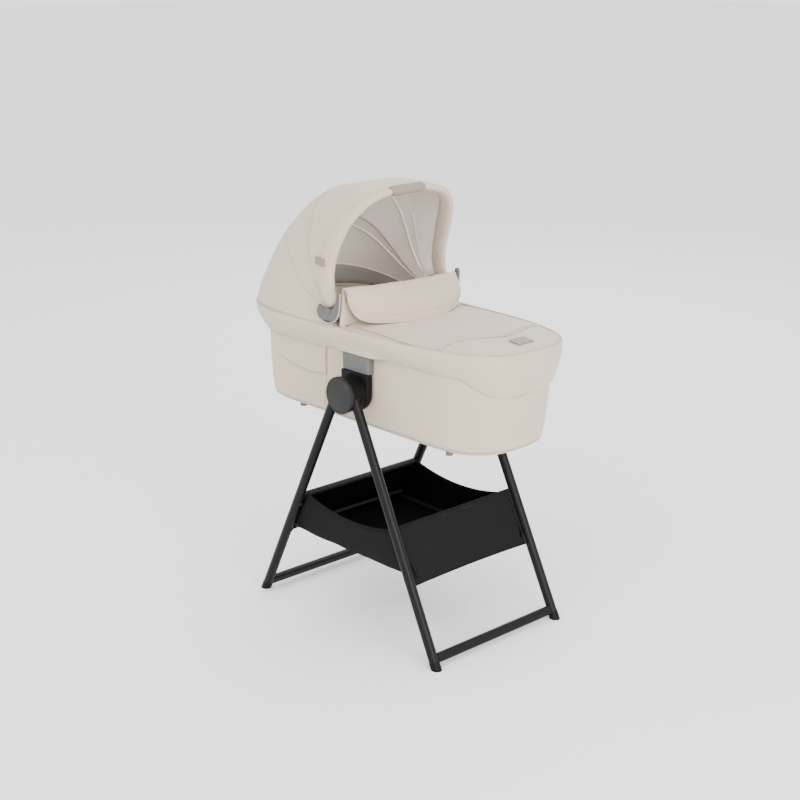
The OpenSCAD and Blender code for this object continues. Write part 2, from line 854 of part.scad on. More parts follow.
canopy_front_panel();
handle_tube();
handle_sleeve();
handle_grip();
handle_studs();
pull_tabs();
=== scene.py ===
"""Looks of a bassinet on a folding stand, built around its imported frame.

Each sub-assembly is a class that builds its meshes and dresses them. All sizes
are in metres, in the frame's own axes: +Z up, +X towards the foot end.
"""

from __future__ import annotations

import json
import logging
import math
from dataclasses import dataclass, field
from enum import Enum
from typing import Callable, Iterable, Sequence

import bmesh
import bpy
import numpy as np
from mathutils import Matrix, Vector, noise

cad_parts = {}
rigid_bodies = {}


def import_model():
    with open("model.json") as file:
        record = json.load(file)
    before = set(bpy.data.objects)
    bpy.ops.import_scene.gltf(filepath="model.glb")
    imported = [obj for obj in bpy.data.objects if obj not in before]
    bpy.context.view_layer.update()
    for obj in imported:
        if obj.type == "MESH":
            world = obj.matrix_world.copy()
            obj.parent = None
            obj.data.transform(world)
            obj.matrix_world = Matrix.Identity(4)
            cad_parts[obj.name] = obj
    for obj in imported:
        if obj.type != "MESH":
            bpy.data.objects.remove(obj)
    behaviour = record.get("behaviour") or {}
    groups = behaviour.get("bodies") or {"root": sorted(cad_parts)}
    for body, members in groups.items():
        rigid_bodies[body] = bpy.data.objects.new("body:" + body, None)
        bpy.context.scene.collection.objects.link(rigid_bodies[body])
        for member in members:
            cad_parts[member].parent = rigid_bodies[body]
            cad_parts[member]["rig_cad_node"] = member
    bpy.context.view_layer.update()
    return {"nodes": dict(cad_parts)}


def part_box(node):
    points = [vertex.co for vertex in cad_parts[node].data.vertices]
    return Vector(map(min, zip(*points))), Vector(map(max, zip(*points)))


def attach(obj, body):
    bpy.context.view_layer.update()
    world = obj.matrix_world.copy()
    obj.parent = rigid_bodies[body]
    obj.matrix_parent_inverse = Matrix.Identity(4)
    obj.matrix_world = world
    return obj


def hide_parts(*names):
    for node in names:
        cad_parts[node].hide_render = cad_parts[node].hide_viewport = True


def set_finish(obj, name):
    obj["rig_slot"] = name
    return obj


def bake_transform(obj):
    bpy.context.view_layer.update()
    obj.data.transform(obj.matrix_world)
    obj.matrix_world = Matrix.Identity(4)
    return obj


LOG = logging.getLogger("bassinet")
SIDES = {"right": -1.0, "left": 1.0}


# ---------- node helpers ----------


class Nodes:
    """A thin layer over a node tree that adds nodes and links them."""

    def __init__(self, tree: bpy.types.NodeTree) -> None:
        """Keep the tree that nodes are added to."""
        self.tree = tree

    def add(self, kind: str, /, **settings: object) -> bpy.types.Node:
        """Add a node and fill it in.

        Args:
            kind: Blender's name of the node type.
            settings: Attributes by name; a key starting with i_ sets an input socket.

        Returns:
            The new node.
        """
        node = self.tree.nodes.new(kind)
        for key, value in settings.items():
            if not key.startswith("i_"):
                setattr(node, key, value)
        for key, value in settings.items():
            if key.startswith("i_"):
                self.plug(value, node.inputs[socket_key(key[2:])])
        return node

    def plug(self, value: object, socket: bpy.types.NodeSocket) -> None:
        """Link a socket to another, or set its default."""
        if isinstance(value, bpy.types.NodeSocket):
            self.tree.links.new(value, socket)
        else:
            socket.default_value = value

    def math(self, operation: str, *values: object, clamp: bool = False) -> bpy.types.NodeSocket:
        """Return the result of a math node fed with the given values."""
        node = self.add("ShaderNodeMath", operation=operation, use_clamp=clamp)
        for socket, value in zip(node.inputs, values):
            self.plug(value, socket)
        return node.outputs[0]

    def blend(self, factor: object, low: object, high: object) -> bpy.types.NodeSocket:
        """Return a colour mixed between two colours."""
        node = self.add("ShaderNodeMix", data_type="RGBA")
        self.plug(factor, node.inputs[0])
        self.plug(low, node.inputs[6])
        self.plug(high, node.inputs[7])
        return node.outputs[2]


def socket_key(text: str) -> str | int:
    """Turn a keyword such as base_color or 0 into a socket's name or index."""
    return int(text) if text.isdigit() else text.replace("_", " ").title()


def shader_group(name: str, inputs: Sequence[tuple], outputs: Sequence[tuple]) -> tuple:
    """Start a shader node group.

    Args:
        name: Name of the group.
        inputs: (name, socket type, default) of each input.
        outputs: (name, socket type) of each output.

    Returns:
        The group's tree, its helper, its input node and its output node.
    """
    tree = bpy.data.node_groups.new(name, "ShaderNodeTree")
    for label, kind, default in inputs:
        socket = tree.interface.new_socket(label, in_out="INPUT", socket_type=kind)
        if default is not None:
            socket.default_value = default
    for label, kind in outputs:
        tree.interface.new_socket(label, in_out="OUTPUT", socket_type=kind)
    helper = Nodes(tree)
    return tree, helper, helper.add("NodeGroupInput"), helper.add("NodeGroupOutput")


FLOAT = "NodeSocketFloat"
VECTOR = "NodeSocketVector"
COLOR = "NodeSocketColor"


def weave_group() -> bpy.types.NodeTree:
    """Build the weave: crossing threads, mottled yarn colour and soft unevenness."""
    tree, n, source, out = shader_group(
        "woven_threads",
        [("Vector", VECTOR, None), ("Threads", FLOAT, 600.0), ("Yarn", COLOR, (0.6, 0.6, 0.6, 1.0)),
         ("Shade", COLOR, (0.5, 0.5, 0.5, 1.0)), ("Mottle", FLOAT, 0.5)],
        [("Color", COLOR), ("Height", FLOAT)])
    vector, threads = source.outputs["Vector"], source.outputs["Threads"]
    split = n.add("ShaderNodeSeparateXYZ", i_0=vector)
    angle = n.math("MULTIPLY", threads, 2 * math.pi)
    waves = [n.math("SINE", n.math("MULTIPLY", split.outputs[axis], angle)) for axis in range(3)]
    over = n.math("MULTIPLY", waves[0], waves[1])
    over = n.math("ADD", over, n.math("MULTIPLY", waves[1], waves[2]))
    over = n.math("ADD", over, n.math("MULTIPLY", waves[2], waves[0]))
    yarn = n.add("ShaderNodeTexNoise", i_vector=vector, i_scale=420.0, i_detail=3.0, i_roughness=0.65)
    broad = n.add("ShaderNodeTexNoise", i_vector=vector, i_scale=9.0, i_detail=2.0)
    fleck = n.math("SUBTRACT", yarn.outputs[0], 0.5)
    drift = n.math("SUBTRACT", broad.outputs[0], 0.5)
    amount = n.math("MULTIPLY", n.math("ADD", fleck, n.math("MULTIPLY", drift, 0.45)),
                    source.outputs["Mottle"])
    factor = n.math("ADD", n.math("MULTIPLY_ADD", over, -0.10, 0.38), n.math("MULTIPLY", amount, 1.6),
                    clamp=True)
    n.plug(n.blend(factor, source.outputs["Yarn"], source.outputs["Shade"]), out.inputs["Color"])
    n.plug(n.math("MULTIPLY_ADD", over, 0.5, n.math("MULTIPLY", yarn.outputs[0], 0.8)), out.inputs["Height"])
    return tree


def grain_group() -> bpy.types.NodeTree:
    """Build leather grain: small cells with creases between them."""
    tree, n, source, out = shader_group(
        "pebbled_grain",
        [("Vector", VECTOR, None), ("Cells", FLOAT, 600.0), ("Top", COLOR, (0.5, 0.5, 0.5, 1.0)),
         ("Crease", COLOR, (0.3, 0.3, 0.3, 1.0))],
        [("Color", COLOR), ("Height", FLOAT)])
    cells = n.add("ShaderNodeTexVoronoi", feature="DISTANCE_TO_EDGE",
                  i_vector=source.outputs["Vector"], i_scale=source.outputs["Cells"])
    depth = n.math("MULTIPLY", cells.outputs[0], 5.0, clamp=True)
    tint = n.add("ShaderNodeTexNoise", i_vector=source.outputs["Vector"], i_scale=35.0)
    factor = n.math("MULTIPLY", depth, n.math("MULTIPLY_ADD", tint.outputs[0], 0.5, 0.7), clamp=True)
    n.plug(n.blend(factor, source.outputs["Crease"], source.outputs["Top"]), out.inputs["Color"])
    n.plug(depth, out.inputs["Height"])
    return tree


def skin_group() -> bpy.types.NodeTree:
    """Build the skin of moulded plastic or powder coat: fine bumps, and handling marks in its gloss."""
    tree, n, source, out = shader_group(
        "moulded_skin",
        [("Vector", VECTOR, None), ("Grain", FLOAT, 1500.0), ("Colour", COLOR, (0.5, 0.5, 0.5, 1.0)),
         ("Rub", COLOR, (0.6, 0.6, 0.6, 1.0)), ("Roughness", FLOAT, 0.5)],
        [("Color", COLOR), ("Roughness", FLOAT), ("Height", FLOAT)])
    vector = source.outputs["Vector"]
    fine = n.add("ShaderNodeTexNoise", i_vector=vector, i_scale=source.outputs["Grain"], i_detail=2.0)
    broad = n.add("ShaderNodeTexNoise", i_vector=vector, i_scale=14.0, i_detail=4.0)
    marks = n.math("MULTIPLY", n.math("SUBTRACT", broad.outputs[0], 0.45), 1.6, clamp=True)
    n.plug(n.blend(n.math("MULTIPLY", marks, 0.5), source.outputs["Colour"], source.outputs["Rub"]),
           out.inputs["Color"])
    n.plug(n.math("MULTIPLY_ADD", marks, -0.14, source.outputs["Roughness"]), out.inputs["Roughness"])
    n.plug(fine.outputs[0], out.inputs["Height"])
    return tree


GROUP_MAKERS: dict[str, Callable[[], bpy.types.NodeTree]] = {
    "woven_threads": weave_group, "pebbled_grain": grain_group, "moulded_skin": skin_group}


def group_node(n: Nodes, name: str, **inputs: object) -> bpy.types.Node:
    """Place a shader group in a material, building the group the first time."""
    tree = bpy.data.node_groups.get(name) or GROUP_MAKERS[name]()
    node = n.add("ShaderNodeGroup", node_tree=tree)
    for key, value in inputs.items():
        n.plug(value, node.inputs[socket_key(key)])
    return node


Rgb = tuple[float, float, float]


def opaque(color: Rgb) -> tuple[float, float, float, float]:
    """Return the colour with full alpha."""
    return (*color, 1.0)


class Coords(Enum):
    """Where a finish reads its pattern from."""

    SURFACE = "UV"
    SPACE = "Object"


@dataclass(frozen=True)
class Finish:
    """A finish with a Principled shader; subclasses add their pattern."""

    name: str
    slot: str

    def start(self) -> tuple[bpy.types.Material, Nodes, bpy.types.Node]:
        """Return the new material, its helper and its Principled shader."""
        material = bpy.data.materials.new(self.name)
        material.use_nodes = True
        n = Nodes(material.node_tree)
        return material, n, material.node_tree.nodes["Principled BSDF"]

    def material(self) -> bpy.types.Material:
        """Return the finish's material, built once."""
        return bpy.data.materials.get(self.name) or self.build()

    def build(self) -> bpy.types.Material:
        """Build the material."""
        raise NotImplementedError

    def bump(self, n: Nodes, shader: bpy.types.Node, height: bpy.types.NodeSocket,
             strength: float, depth: float) -> None:
        """Feed a height into the shader's normal."""
        node = n.add("ShaderNodeBump", i_strength=strength, i_distance=depth, i_height=height)
        n.plug(node.outputs[0], shader.inputs["Normal"])


@dataclass(frozen=True)
class Cloth(Finish):
    """Woven cloth with a yarn colour, a darker shade between threads and some fuzz."""

    yarn: Rgb = (0.6, 0.56, 0.5)
    shade: Rgb = (0.5, 0.46, 0.41)
    threads: float = 620.0
    mottle: float = 0.5
    roughness: float = 0.86
    sheen: float = 0.25
    depth: float = 0.00022
    coords: Coords = Coords.SPACE
    specular: float = 0.25

    def build(self) -> bpy.types.Material:
        """Build the woven material."""
        material, n, shader = self.start()
        place = n.add("ShaderNodeTexCoord").outputs[self.coords.value]
        weave = group_node(n, "woven_threads", vector=place, threads=self.threads,
                           yarn=opaque(self.yarn), shade=opaque(self.shade), mottle=self.mottle)
        n.plug(weave.outputs["Color"], shader.inputs["Base Color"])
        shader.inputs["Roughness"].default_value = self.roughness
        shader.inputs["Sheen Weight"].default_value = self.sheen
        shader.inputs["Sheen Roughness"].default_value = 0.55
        shader.inputs["Specular IOR Level"].default_value = self.specular
        self.bump(n, shader, weave.outputs["Height"], 0.55, self.depth)
        return material


@dataclass(frozen=True)
class Leather(Finish):
    """Grained leatherette."""

    top: Rgb = (0.27, 0.215, 0.168)
    crease: Rgb = (0.20, 0.158, 0.122)
    cells: float = 520.0

    def build(self) -> bpy.types.Material:
        """Build the leather material."""
        material, n, shader = self.start()
        place = n.add("ShaderNodeTexCoord").outputs["Object"]
        grain = group_node(n, "pebbled_grain", vector=place, cells=self.cells,
                           top=opaque(self.top), crease=opaque(self.crease))
        n.plug(grain.outputs["Color"], shader.inputs["Base Color"])
        shader.inputs["Roughness"].default_value = 0.58
        self.bump(n, shader, grain.outputs["Height"], 0.4, 0.00025)
        return material


@dataclass(frozen=True)
class Skin(Finish):
    """Moulded plastic, powder-coated tube or plated steel."""

    colour: Rgb = (0.2, 0.2, 0.2)
    rub: Rgb = (0.25, 0.25, 0.25)
    roughness: float = 0.5
    metallic: float = 0.0
    specular: float = 0.3
    grain: float = 1500.0
    depth: float = 0.00006

    def build(self) -> bpy.types.Material:
        """Build the moulded material."""
        material, n, shader = self.start()
        place = n.add("ShaderNodeTexCoord").outputs["Object"]
        skin = group_node(n, "moulded_skin", vector=place, grain=self.grain, colour=opaque(self.colour),
                          rub=opaque(self.rub), roughness=self.roughness)
        n.plug(skin.outputs["Color"], shader.inputs["Base Color"])
        n.plug(skin.outputs["Roughness"], shader.inputs["Roughness"])
        shader.inputs["Metallic"].default_value = self.metallic
        shader.inputs["Specular IOR Level"].default_value = self.specular
        self.bump(n, shader, skin.outputs["Height"], 0.35, self.depth)
        return material


OYSTER = Cloth("oyster_weave", "oyster_cloth", yarn=(0.555, 0.458, 0.352), shade=(0.445, 0.362, 0.282))
OYSTER_TRIM = Cloth("oyster_binding", "oyster_cloth", yarn=(0.44, 0.365, 0.295), shade=(0.33, 0.27, 0.215),
                    threads=900.0, mottle=0.35)
LINING = Cloth("pale_jersey", "lining_cloth", yarn=(0.76, 0.69, 0.62), shade=(0.66, 0.595, 0.53),
               threads=800.0,
               mottle=0.35, depth=0.00012)
MESH = Cloth("vent_mesh", "mesh_cloth", yarn=(0.34, 0.325, 0.305), shade=(0.22, 0.21, 0.197), threads=420.0,
             mottle=0.2, depth=0.0004)
# Painted shadow: dark cloth laid as the shade inside the pocket slit and along the zip between its welts.
SHADOW_CLOTH = Cloth("seam_shadow", "oyster_cloth", yarn=(0.20, 0.165, 0.13), shade=(0.15, 0.125, 0.10),
             threads=900.0)
BASKET_CLOTH = Cloth("charcoal_canvas", "basket_cloth", yarn=(0.0092, 0.0092, 0.0096),
                     shade=(0.0058, 0.0058, 0.006),
                     threads=520.0, sheen=0.0, roughness=0.9, specular=0.1)
# Painted shade: a near-black copy of the basket cloth for the faces seen inside the tub, where shade falls.
BASKET_SHADE = Cloth("painted_shade_canvas", "basket_lining", yarn=(0.0015, 0.0014, 0.0014),
                    shade=(0.0008, 0.0008, 0.0008),
                    threads=520.0, sheen=0.0, roughness=0.9, specular=0.05)
TUBE = Skin("charcoal_powder_coat", "stand_tube", colour=(0.0042, 0.0042, 0.0043),
            rub=(0.0065, 0.0065, 0.0066),
            roughness=0.4, grain=1800.0, specular=0.15)
BLACK_PLASTIC = Skin("black_moulding", "stand_plastic", colour=(0.003, 0.003, 0.0031),
                     rub=(0.0045, 0.0045, 0.0046),
                     roughness=0.5, specular=0.12)
HUB_PLASTIC = Skin("charcoal_moulding", "hub_plastic", colour=(0.0135, 0.0135, 0.014),
                   rub=(0.018, 0.018, 0.0185),
                   roughness=0.45, specular=0.2)
GREY_PLASTIC = Skin("grey_moulding", "grey_plastic", colour=(0.098, 0.101, 0.097), rub=(0.113, 0.116, 0.112),
                    roughness=0.55)
# Painted shade: a shaded copy of the grey moulding, used for the cot's feet and the pivot cups.
SHADED_GREY_PLASTIC = Skin("shaded_grey_moulding", "grey_plastic", colour=(0.098, 0.098, 0.093),
                         rub=(0.112, 0.112, 0.106), roughness=0.55)
STEEL = Skin("bright_zinc", "steel", colour=(0.45, 0.45, 0.46), rub=(0.55, 0.55, 0.56), roughness=0.32,
             metallic=1.0)
DARK_ZINC = Skin("blackened_zinc", "steel", colour=(0.012, 0.012, 0.0125), rub=(0.03, 0.03, 0.031),
                 roughness=0.5,
                 specular=0.2)
TAN = Leather("tan_leatherette", "tan_leather")
FLOOR = Skin("pale_floor", "", colour=(0.90, 0.90, 0.90), rub=(0.92, 0.92, 0.92), roughness=0.9,
             depth=0.00001)


# ---------- mesh helpers ----------


def mesh_object(name: str, points: Sequence, faces: Sequence[Sequence[int]],
                finish: Finish) -> bpy.types.Object:
    """Make an object from points and faces, smooth shaded, and dress it.

    Args:
        name: Name of the piece.
        points: Its vertices, in metres.
        faces: Its faces as lists of vertex numbers.
        finish: Finish that it takes.

    Returns:
        The new object.
    """
    mesh = bpy.data.meshes.new(name)
    mesh.from_pydata([tuple(p) for p in points], [], [tuple(f) for f in faces])
    mesh.update()
    piece = bpy.data.objects.new(name, mesh)
    bpy.context.scene.collection.objects.link(piece)
    dress(piece, finish)
    mesh.shade_smooth()
    return piece


def dress(piece: bpy.types.Object, finish: Finish) -> bpy.types.Object:
    """Give a piece its material, and a new piece its record slot."""
    piece.data.materials.clear()
    piece.data.materials.append(finish.material())
    if "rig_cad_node" not in piece:
        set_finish(piece, finish.slot)
    return piece


def grid_piece(name: str, rows: Sequence[Sequence], finish: Finish, closed: bool = False,
               thickness: float = 0.0) -> bpy.types.Object:
    """Make a sheet through rows of points.

    Args:
        name: Name of the piece.
        rows: Rows of points, all of the same length.
        finish: Finish that it takes.
        closed: Whether each row is a closed loop.
        thickness: Thickness to give it, outwards from the points.

    Returns:
        The sheet, with faces that point along rows x columns.
    """
    count = len(rows[0])
    span = count if closed else count - 1
    points = [p for row in rows for p in row]
    faces = [(i * count + k, i * count + (k + 1) % count, (i + 1) * count + (k + 1) % count,
              (i + 1) * count + k)
             for i in range(len(rows) - 1) for k in range(span)]
    piece = mesh_object(name, points, faces, finish)
    clean(piece)
    if thickness:
        thicken(piece, thickness)
    return piece


def clean(piece: bpy.types.Object, recalc: bool = False) -> None:
    """Merge doubles and drop faces with no area; optionally turn faces outwards."""
    work = bmesh.new()
    work.from_mesh(piece.data)
    bmesh.ops.remove_doubles(work, verts=work.verts, dist=1e-5)
    bmesh.ops.dissolve_degenerate(work, edges=work.edges, dist=1e-6)
    if recalc:
        bmesh.ops.recalc_face_normals(work, faces=work.faces)
    work.to_mesh(piece.data)
    work.free()
    piece.data.update()


def apply_modifiers(piece: bpy.types.Object) -> None:
    """Bake a piece's modifiers into its mesh."""
    graph = bpy.context.evaluated_depsgraph_get()
    mesh = bpy.data.meshes.new_from_object(piece.evaluated_get(graph), depsgraph=graph)
    piece.modifiers.clear()
    old = piece.data
    piece.data = mesh
    mesh.name = old.name
    bpy.data.meshes.remove(old)


def thicken(piece: bpy.types.Object, thickness: float, offset: float = 0.0) -> None:
    """Give a sheet a thickness and bake it; an offset of 1 grows it along its normals."""
    mod = piece.modifiers.new("wall", "SOLIDIFY")
    mod.thickness = thickness
    mod.offset = offset
    mod.use_even_offset = False
    apply_modifiers(piece)


def subdivide(piece: bpy.types.Object, levels: int = 1) -> None:
    """Smooth a piece with a subdivision surface and bake it."""
    mod = piece.modifiers.new("smooth", "SUBSURF")
    mod.levels = levels
    mod.render_levels = levels
    apply_modifiers(piece)
    piece.data.shade_smooth()


def bevel(piece: bpy.types.Object, width: float, segments: int = 3, angle: float = 0.6) -> None:
    """Round the sharp edges of a hard piece and bake it."""
    mod = piece.modifiers.new("round", "BEVEL")
    mod.width = width
    mod.segments = segments
    mod.limit_method = "ANGLE"
    mod.angle_limit = angle
    mod.harden_normals = False
    apply_modifiers(piece)
    smooth_by_angle(piece)


def smooth_by_angle(piece: bpy.types.Object, angle: float = 0.7) -> None:
    """Shade smooth, with sharp edges where faces meet at more than an angle."""
    piece.data.shade_smooth()
    piece.data.set_sharp_from_angle(angle=angle)


def join(name: str, parts: Sequence[bpy.types.Object]) -> bpy.types.Object:
    """Join pieces into the first and rename it."""
    with bpy.context.temp_override(active_object=parts[0], selected_editable_objects=list(parts)):
        bpy.ops.object.join()
    parts[0].name = name
    parts[0].data.name = name
    return parts[0]


def soften(piece: bpy.types.Object, amount: float, size: float, seed: float = 0.0,
           keep: Callable[[Vector], float] | None = None) -> None:
    """Give cloth gentle unevenness along its normals.

    Args:
        piece: The piece to change.
        amount: Largest move.
        size: Length of one undulation.
        seed: Offset into the noise, so that pieces differ.
        keep: Share of the move at a point, from 0 to 1.
    """
    mesh = piece.data
    normals = [v.normal.copy() for v in mesh.vertices]
    for vertex, normal in zip(mesh.vertices, normals):
        at = vertex.co / size + Vector((seed, seed * 1.7, -seed))
        move = noise.noise(at) + 0.4 * noise.noise(at * 2.3)
        share = keep(vertex.co) if keep else 1.0
        vertex.co += normal * (move * amount * share)
    mesh.update()


def tube(name: str, path: Sequence, radius: float | Sequence[float], finish: Finish, sides: int = 10,
         closed: bool = False, flat: float = 1.0, ref: Vector | None = None) -> bpy.types.Object:
    """Sweep a round or oval section along a path.

    Args:
        name: Name of the piece.
        path: Points along its middle.
        radius: Radius, or one for each point.
        finish: Finish that it takes.
        sides: Points round the section.
        closed: Whether the path is a loop.
        flat: Section's size along ref, as a share of the radius.
        ref: Direction that the section's second axis keeps to; free when left out.

    Returns:
        The closed tube.
    """
    pts = [Vector(p) for p in path]
    count = len(pts)
    radii = [radius] * count if isinstance(radius, float) else list(radius)
    rings: list[list[Vector]] = []
    last_side: Vector | None = None
    for i, p in enumerate(pts):
        before = pts[(i - 1) % count] if closed else pts[max(i - 1, 0)]
        after = pts[(i + 1) % count] if closed else pts[min(i + 1, count - 1)]
        along = (after - before).normalized()
        guide = ref if ref is not None else (last_side or (Vector((0, 0, 1)) if abs(along.z) < 0.9
                                                          else Vector((1, 0, 0))))
        side = (guide - along * guide.dot(along)).normalized()
        last_side = side
        other = along.cross(side)
        rings.append([p + side * (radii[i] * flat * math.sin(a)) + other * (radii[i] * math.cos(a))
                      for a in (2 * math.pi * k / sides for k in range(sides))])
    points = [p for ring in rings for p in ring]
    loops = count if closed else count - 1
    faces = [(i * sides + k, i * sides + (k + 1) % sides, (i + 1) % count * sides + (k + 1) % sides,
              (i + 1) % count * sides + k) for i in range(loops) for k in range(sides)]
    if not closed:
        faces.append(tuple(range(sides - 1, -1, -1)))
        faces.append(tuple((count - 1) * sides + k for k in range(sides)))
    piece = mesh_object(name, points, faces, finish)
    clean(piece, recalc=True)
    return piece


def extrude_outline(name: str, outline: Sequence[tuple[float, float]], y0: float, y1: float,
                    finish: Finish, round_edge: float = 0.0015, segments: int = 3) -> bpy.types.Object:
    """Extrude an outline drawn in X and Z along Y, with rounded edges."""
    count = len(outline)
    points = [(x, y, z) for y in (y0, y1) for x, z in outline]
    faces = [(k, (k + 1) % count, count + (k + 1) % count, count + k) for k in range(count)]
    faces += [tuple(range(count - 1, -1, -1)), tuple(range(count, 2 * count))]
    piece = mesh_object(name, points, faces, finish)
    clean(piece, recalc=True)
    bevel(piece, round_edge, segments)
    return piece


def lathe_y(name: str, profile: Sequence[tuple[float, float]], centre: Vector, side: float, finish: Finish,
            steps: int = 96) -> bpy.types.Object:
    """Turn a profile of (radius, offset outwards) about an axis along Y."""
    points, faces = [], []
    for r, off in profile:
        points += [(centre.x + r * math.cos(a), centre.y + side * off, centre.z + r * math.sin(a))
                   for a in (2 * math.pi * k / steps for k in range(steps))]
    for i in range(len(profile) - 1):
        faces += [(i * steps + k, i * steps + (k + 1) % steps, (i + 1) * steps + (k + 1) % steps,
                   (i + 1) * steps + k) for k in range(steps)]
    faces += [tuple(range(steps)), tuple((len(profile) - 1) * steps + k for k in range(steps))]
    piece = mesh_object(name, points, faces, finish)
    clean(piece, recalc=True)
    smooth_by_angle(piece, 0.5)
    return piece


def mix(a: float, b: float, share: float) -> float:
    """Return the value a share of the way from a to b."""
    return a + (b - a) * share


def ease(share: float) -> float:
    """Return a smooth step from 0 to 1."""
    share = min(1.0, max(0.0, share))
    return share * share * (3 - 2 * share)


def curve_through(points: Sequence, steps: int) -> list[Vector]:
    """Return a smooth curve through points, with some steps between each two."""
    pts = [Vector(p) for p in points]
    ends = [pts[0] * 2 - pts[1], *pts, pts[-1] * 2 - pts[-2]]
    result: list[Vector] = []
    for a, b, c, d in zip(ends, ends[1:], ends[2:], ends[3:]):
        for i in range(steps):
            t = i / steps
            result.append(0.5 * (b * 2 + (c - a) * t + (a * 2 - b * 5 + c * 4 - d) * t * t
                                 + (b * 3 - a - c * 3 + d) * t ** 3))
    result.append(pts[-1])
    return result


def box_centre(node: str) -> Vector:
    """Return the middle of a CAD node's box."""
    low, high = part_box(node)
    return (low + high) / 2


# ---------- repeated details ----------


def stitch_tree() -> bpy.types.NodeTree:
    """Build the tree that lays short stitches along a curve."""
    tree = bpy.data.node_groups.new("stitch_row", "GeometryNodeTree")
    face = tree.interface
    face.new_socket("Geometry", in_out="INPUT", socket_type="NodeSocketGeometry")
    for label, default in (("Pitch", 0.005), ("Length", 0.003), ("Thread", 0.0004)):
        face.new_socket(label, in_out="INPUT", socket_type=FLOAT).default_value = default
    face.new_socket("Material", in_out="INPUT", socket_type="NodeSocketMaterial")
    face.new_socket("Geometry", in_out="OUTPUT", socket_type="NodeSocketGeometry")
    n = Nodes(tree)
    source, out = n.add("NodeGroupInput"), n.add("NodeGroupOutput")
    to_curve = n.add("GeometryNodeMeshToCurve", i_0=source.outputs["Geometry"])
    spread = n.add("GeometryNodeCurveToPoints", mode="LENGTH", i_0=to_curve.outputs[0],
                   i_length=source.outputs["Pitch"])
    thread = n.add("GeometryNodeMeshCylinder", fill_type="TRIANGLE_FAN")
    thread.inputs["Vertices"].default_value = 6
    n.plug(source.outputs["Thread"], thread.inputs["Radius"])
    n.plug(source.outputs["Length"], thread.inputs["Depth"])
    place = n.add("GeometryNodeInstanceOnPoints", i_points=spread.outputs["Points"],
                  i_instance=thread.outputs[0])
    n.plug(spread.outputs["Rotation"], place.inputs["Rotation"])
    real = n.add("GeometryNodeRealizeInstances", i_0=place.outputs[0])
    paint = n.add("GeometryNodeSetMaterial", i_geometry=real.outputs[0])
    n.plug(source.outputs["Material"], paint.inputs["Material"])
    n.plug(paint.outputs[0], out.inputs[0])
    return tree


def set_inputs(mod: bpy.types.Modifier, **values: object) -> None:
    """Set a Geometry Nodes modifier's inputs by their labels."""
    for item in mod.node_group.interface.items_tree:
        if item.item_type == "SOCKET" and item.in_out == "INPUT" and item.name.lower() in values:
            mod[item.identifier] = values[item.name.lower()]


def stitches(name: str, path: Sequence, finish: Finish, pitch: float = 0.0055, length: float = 0.0034,
             thread: float = 0.00045) -> bpy.types.Object:
    """Lay a row of stitches along a path.

    Args:
        name: Name of the piece.
        path: Points along the row.
        finish: Finish of the thread.
        pitch: Distance between stitches.
        length: Length of one stitch.
        thread: Radius of the thread.

    Returns:
        The stitches as one plain mesh.
    """
    piece = mesh_object(name, path, [], finish)
    piece.data.edges.add(len(path) - 1)
    piece.data.edges.foreach_set("vertices", [v for k in range(len(path) - 1) for v in (k, k + 1)])
    piece.data.update()
    mod = piece.modifiers.new("stitches", "NODES")
    mod.node_group = bpy.data.node_groups.get("stitch_row") or stitch_tree()
    set_inputs(mod, pitch=pitch, length=length, thread=thread, material=finish.material())
    apply_modifiers(piece)
    dress(piece, finish)
    piece.data.shade_smooth()
    return piece


# ---------- stand ----------


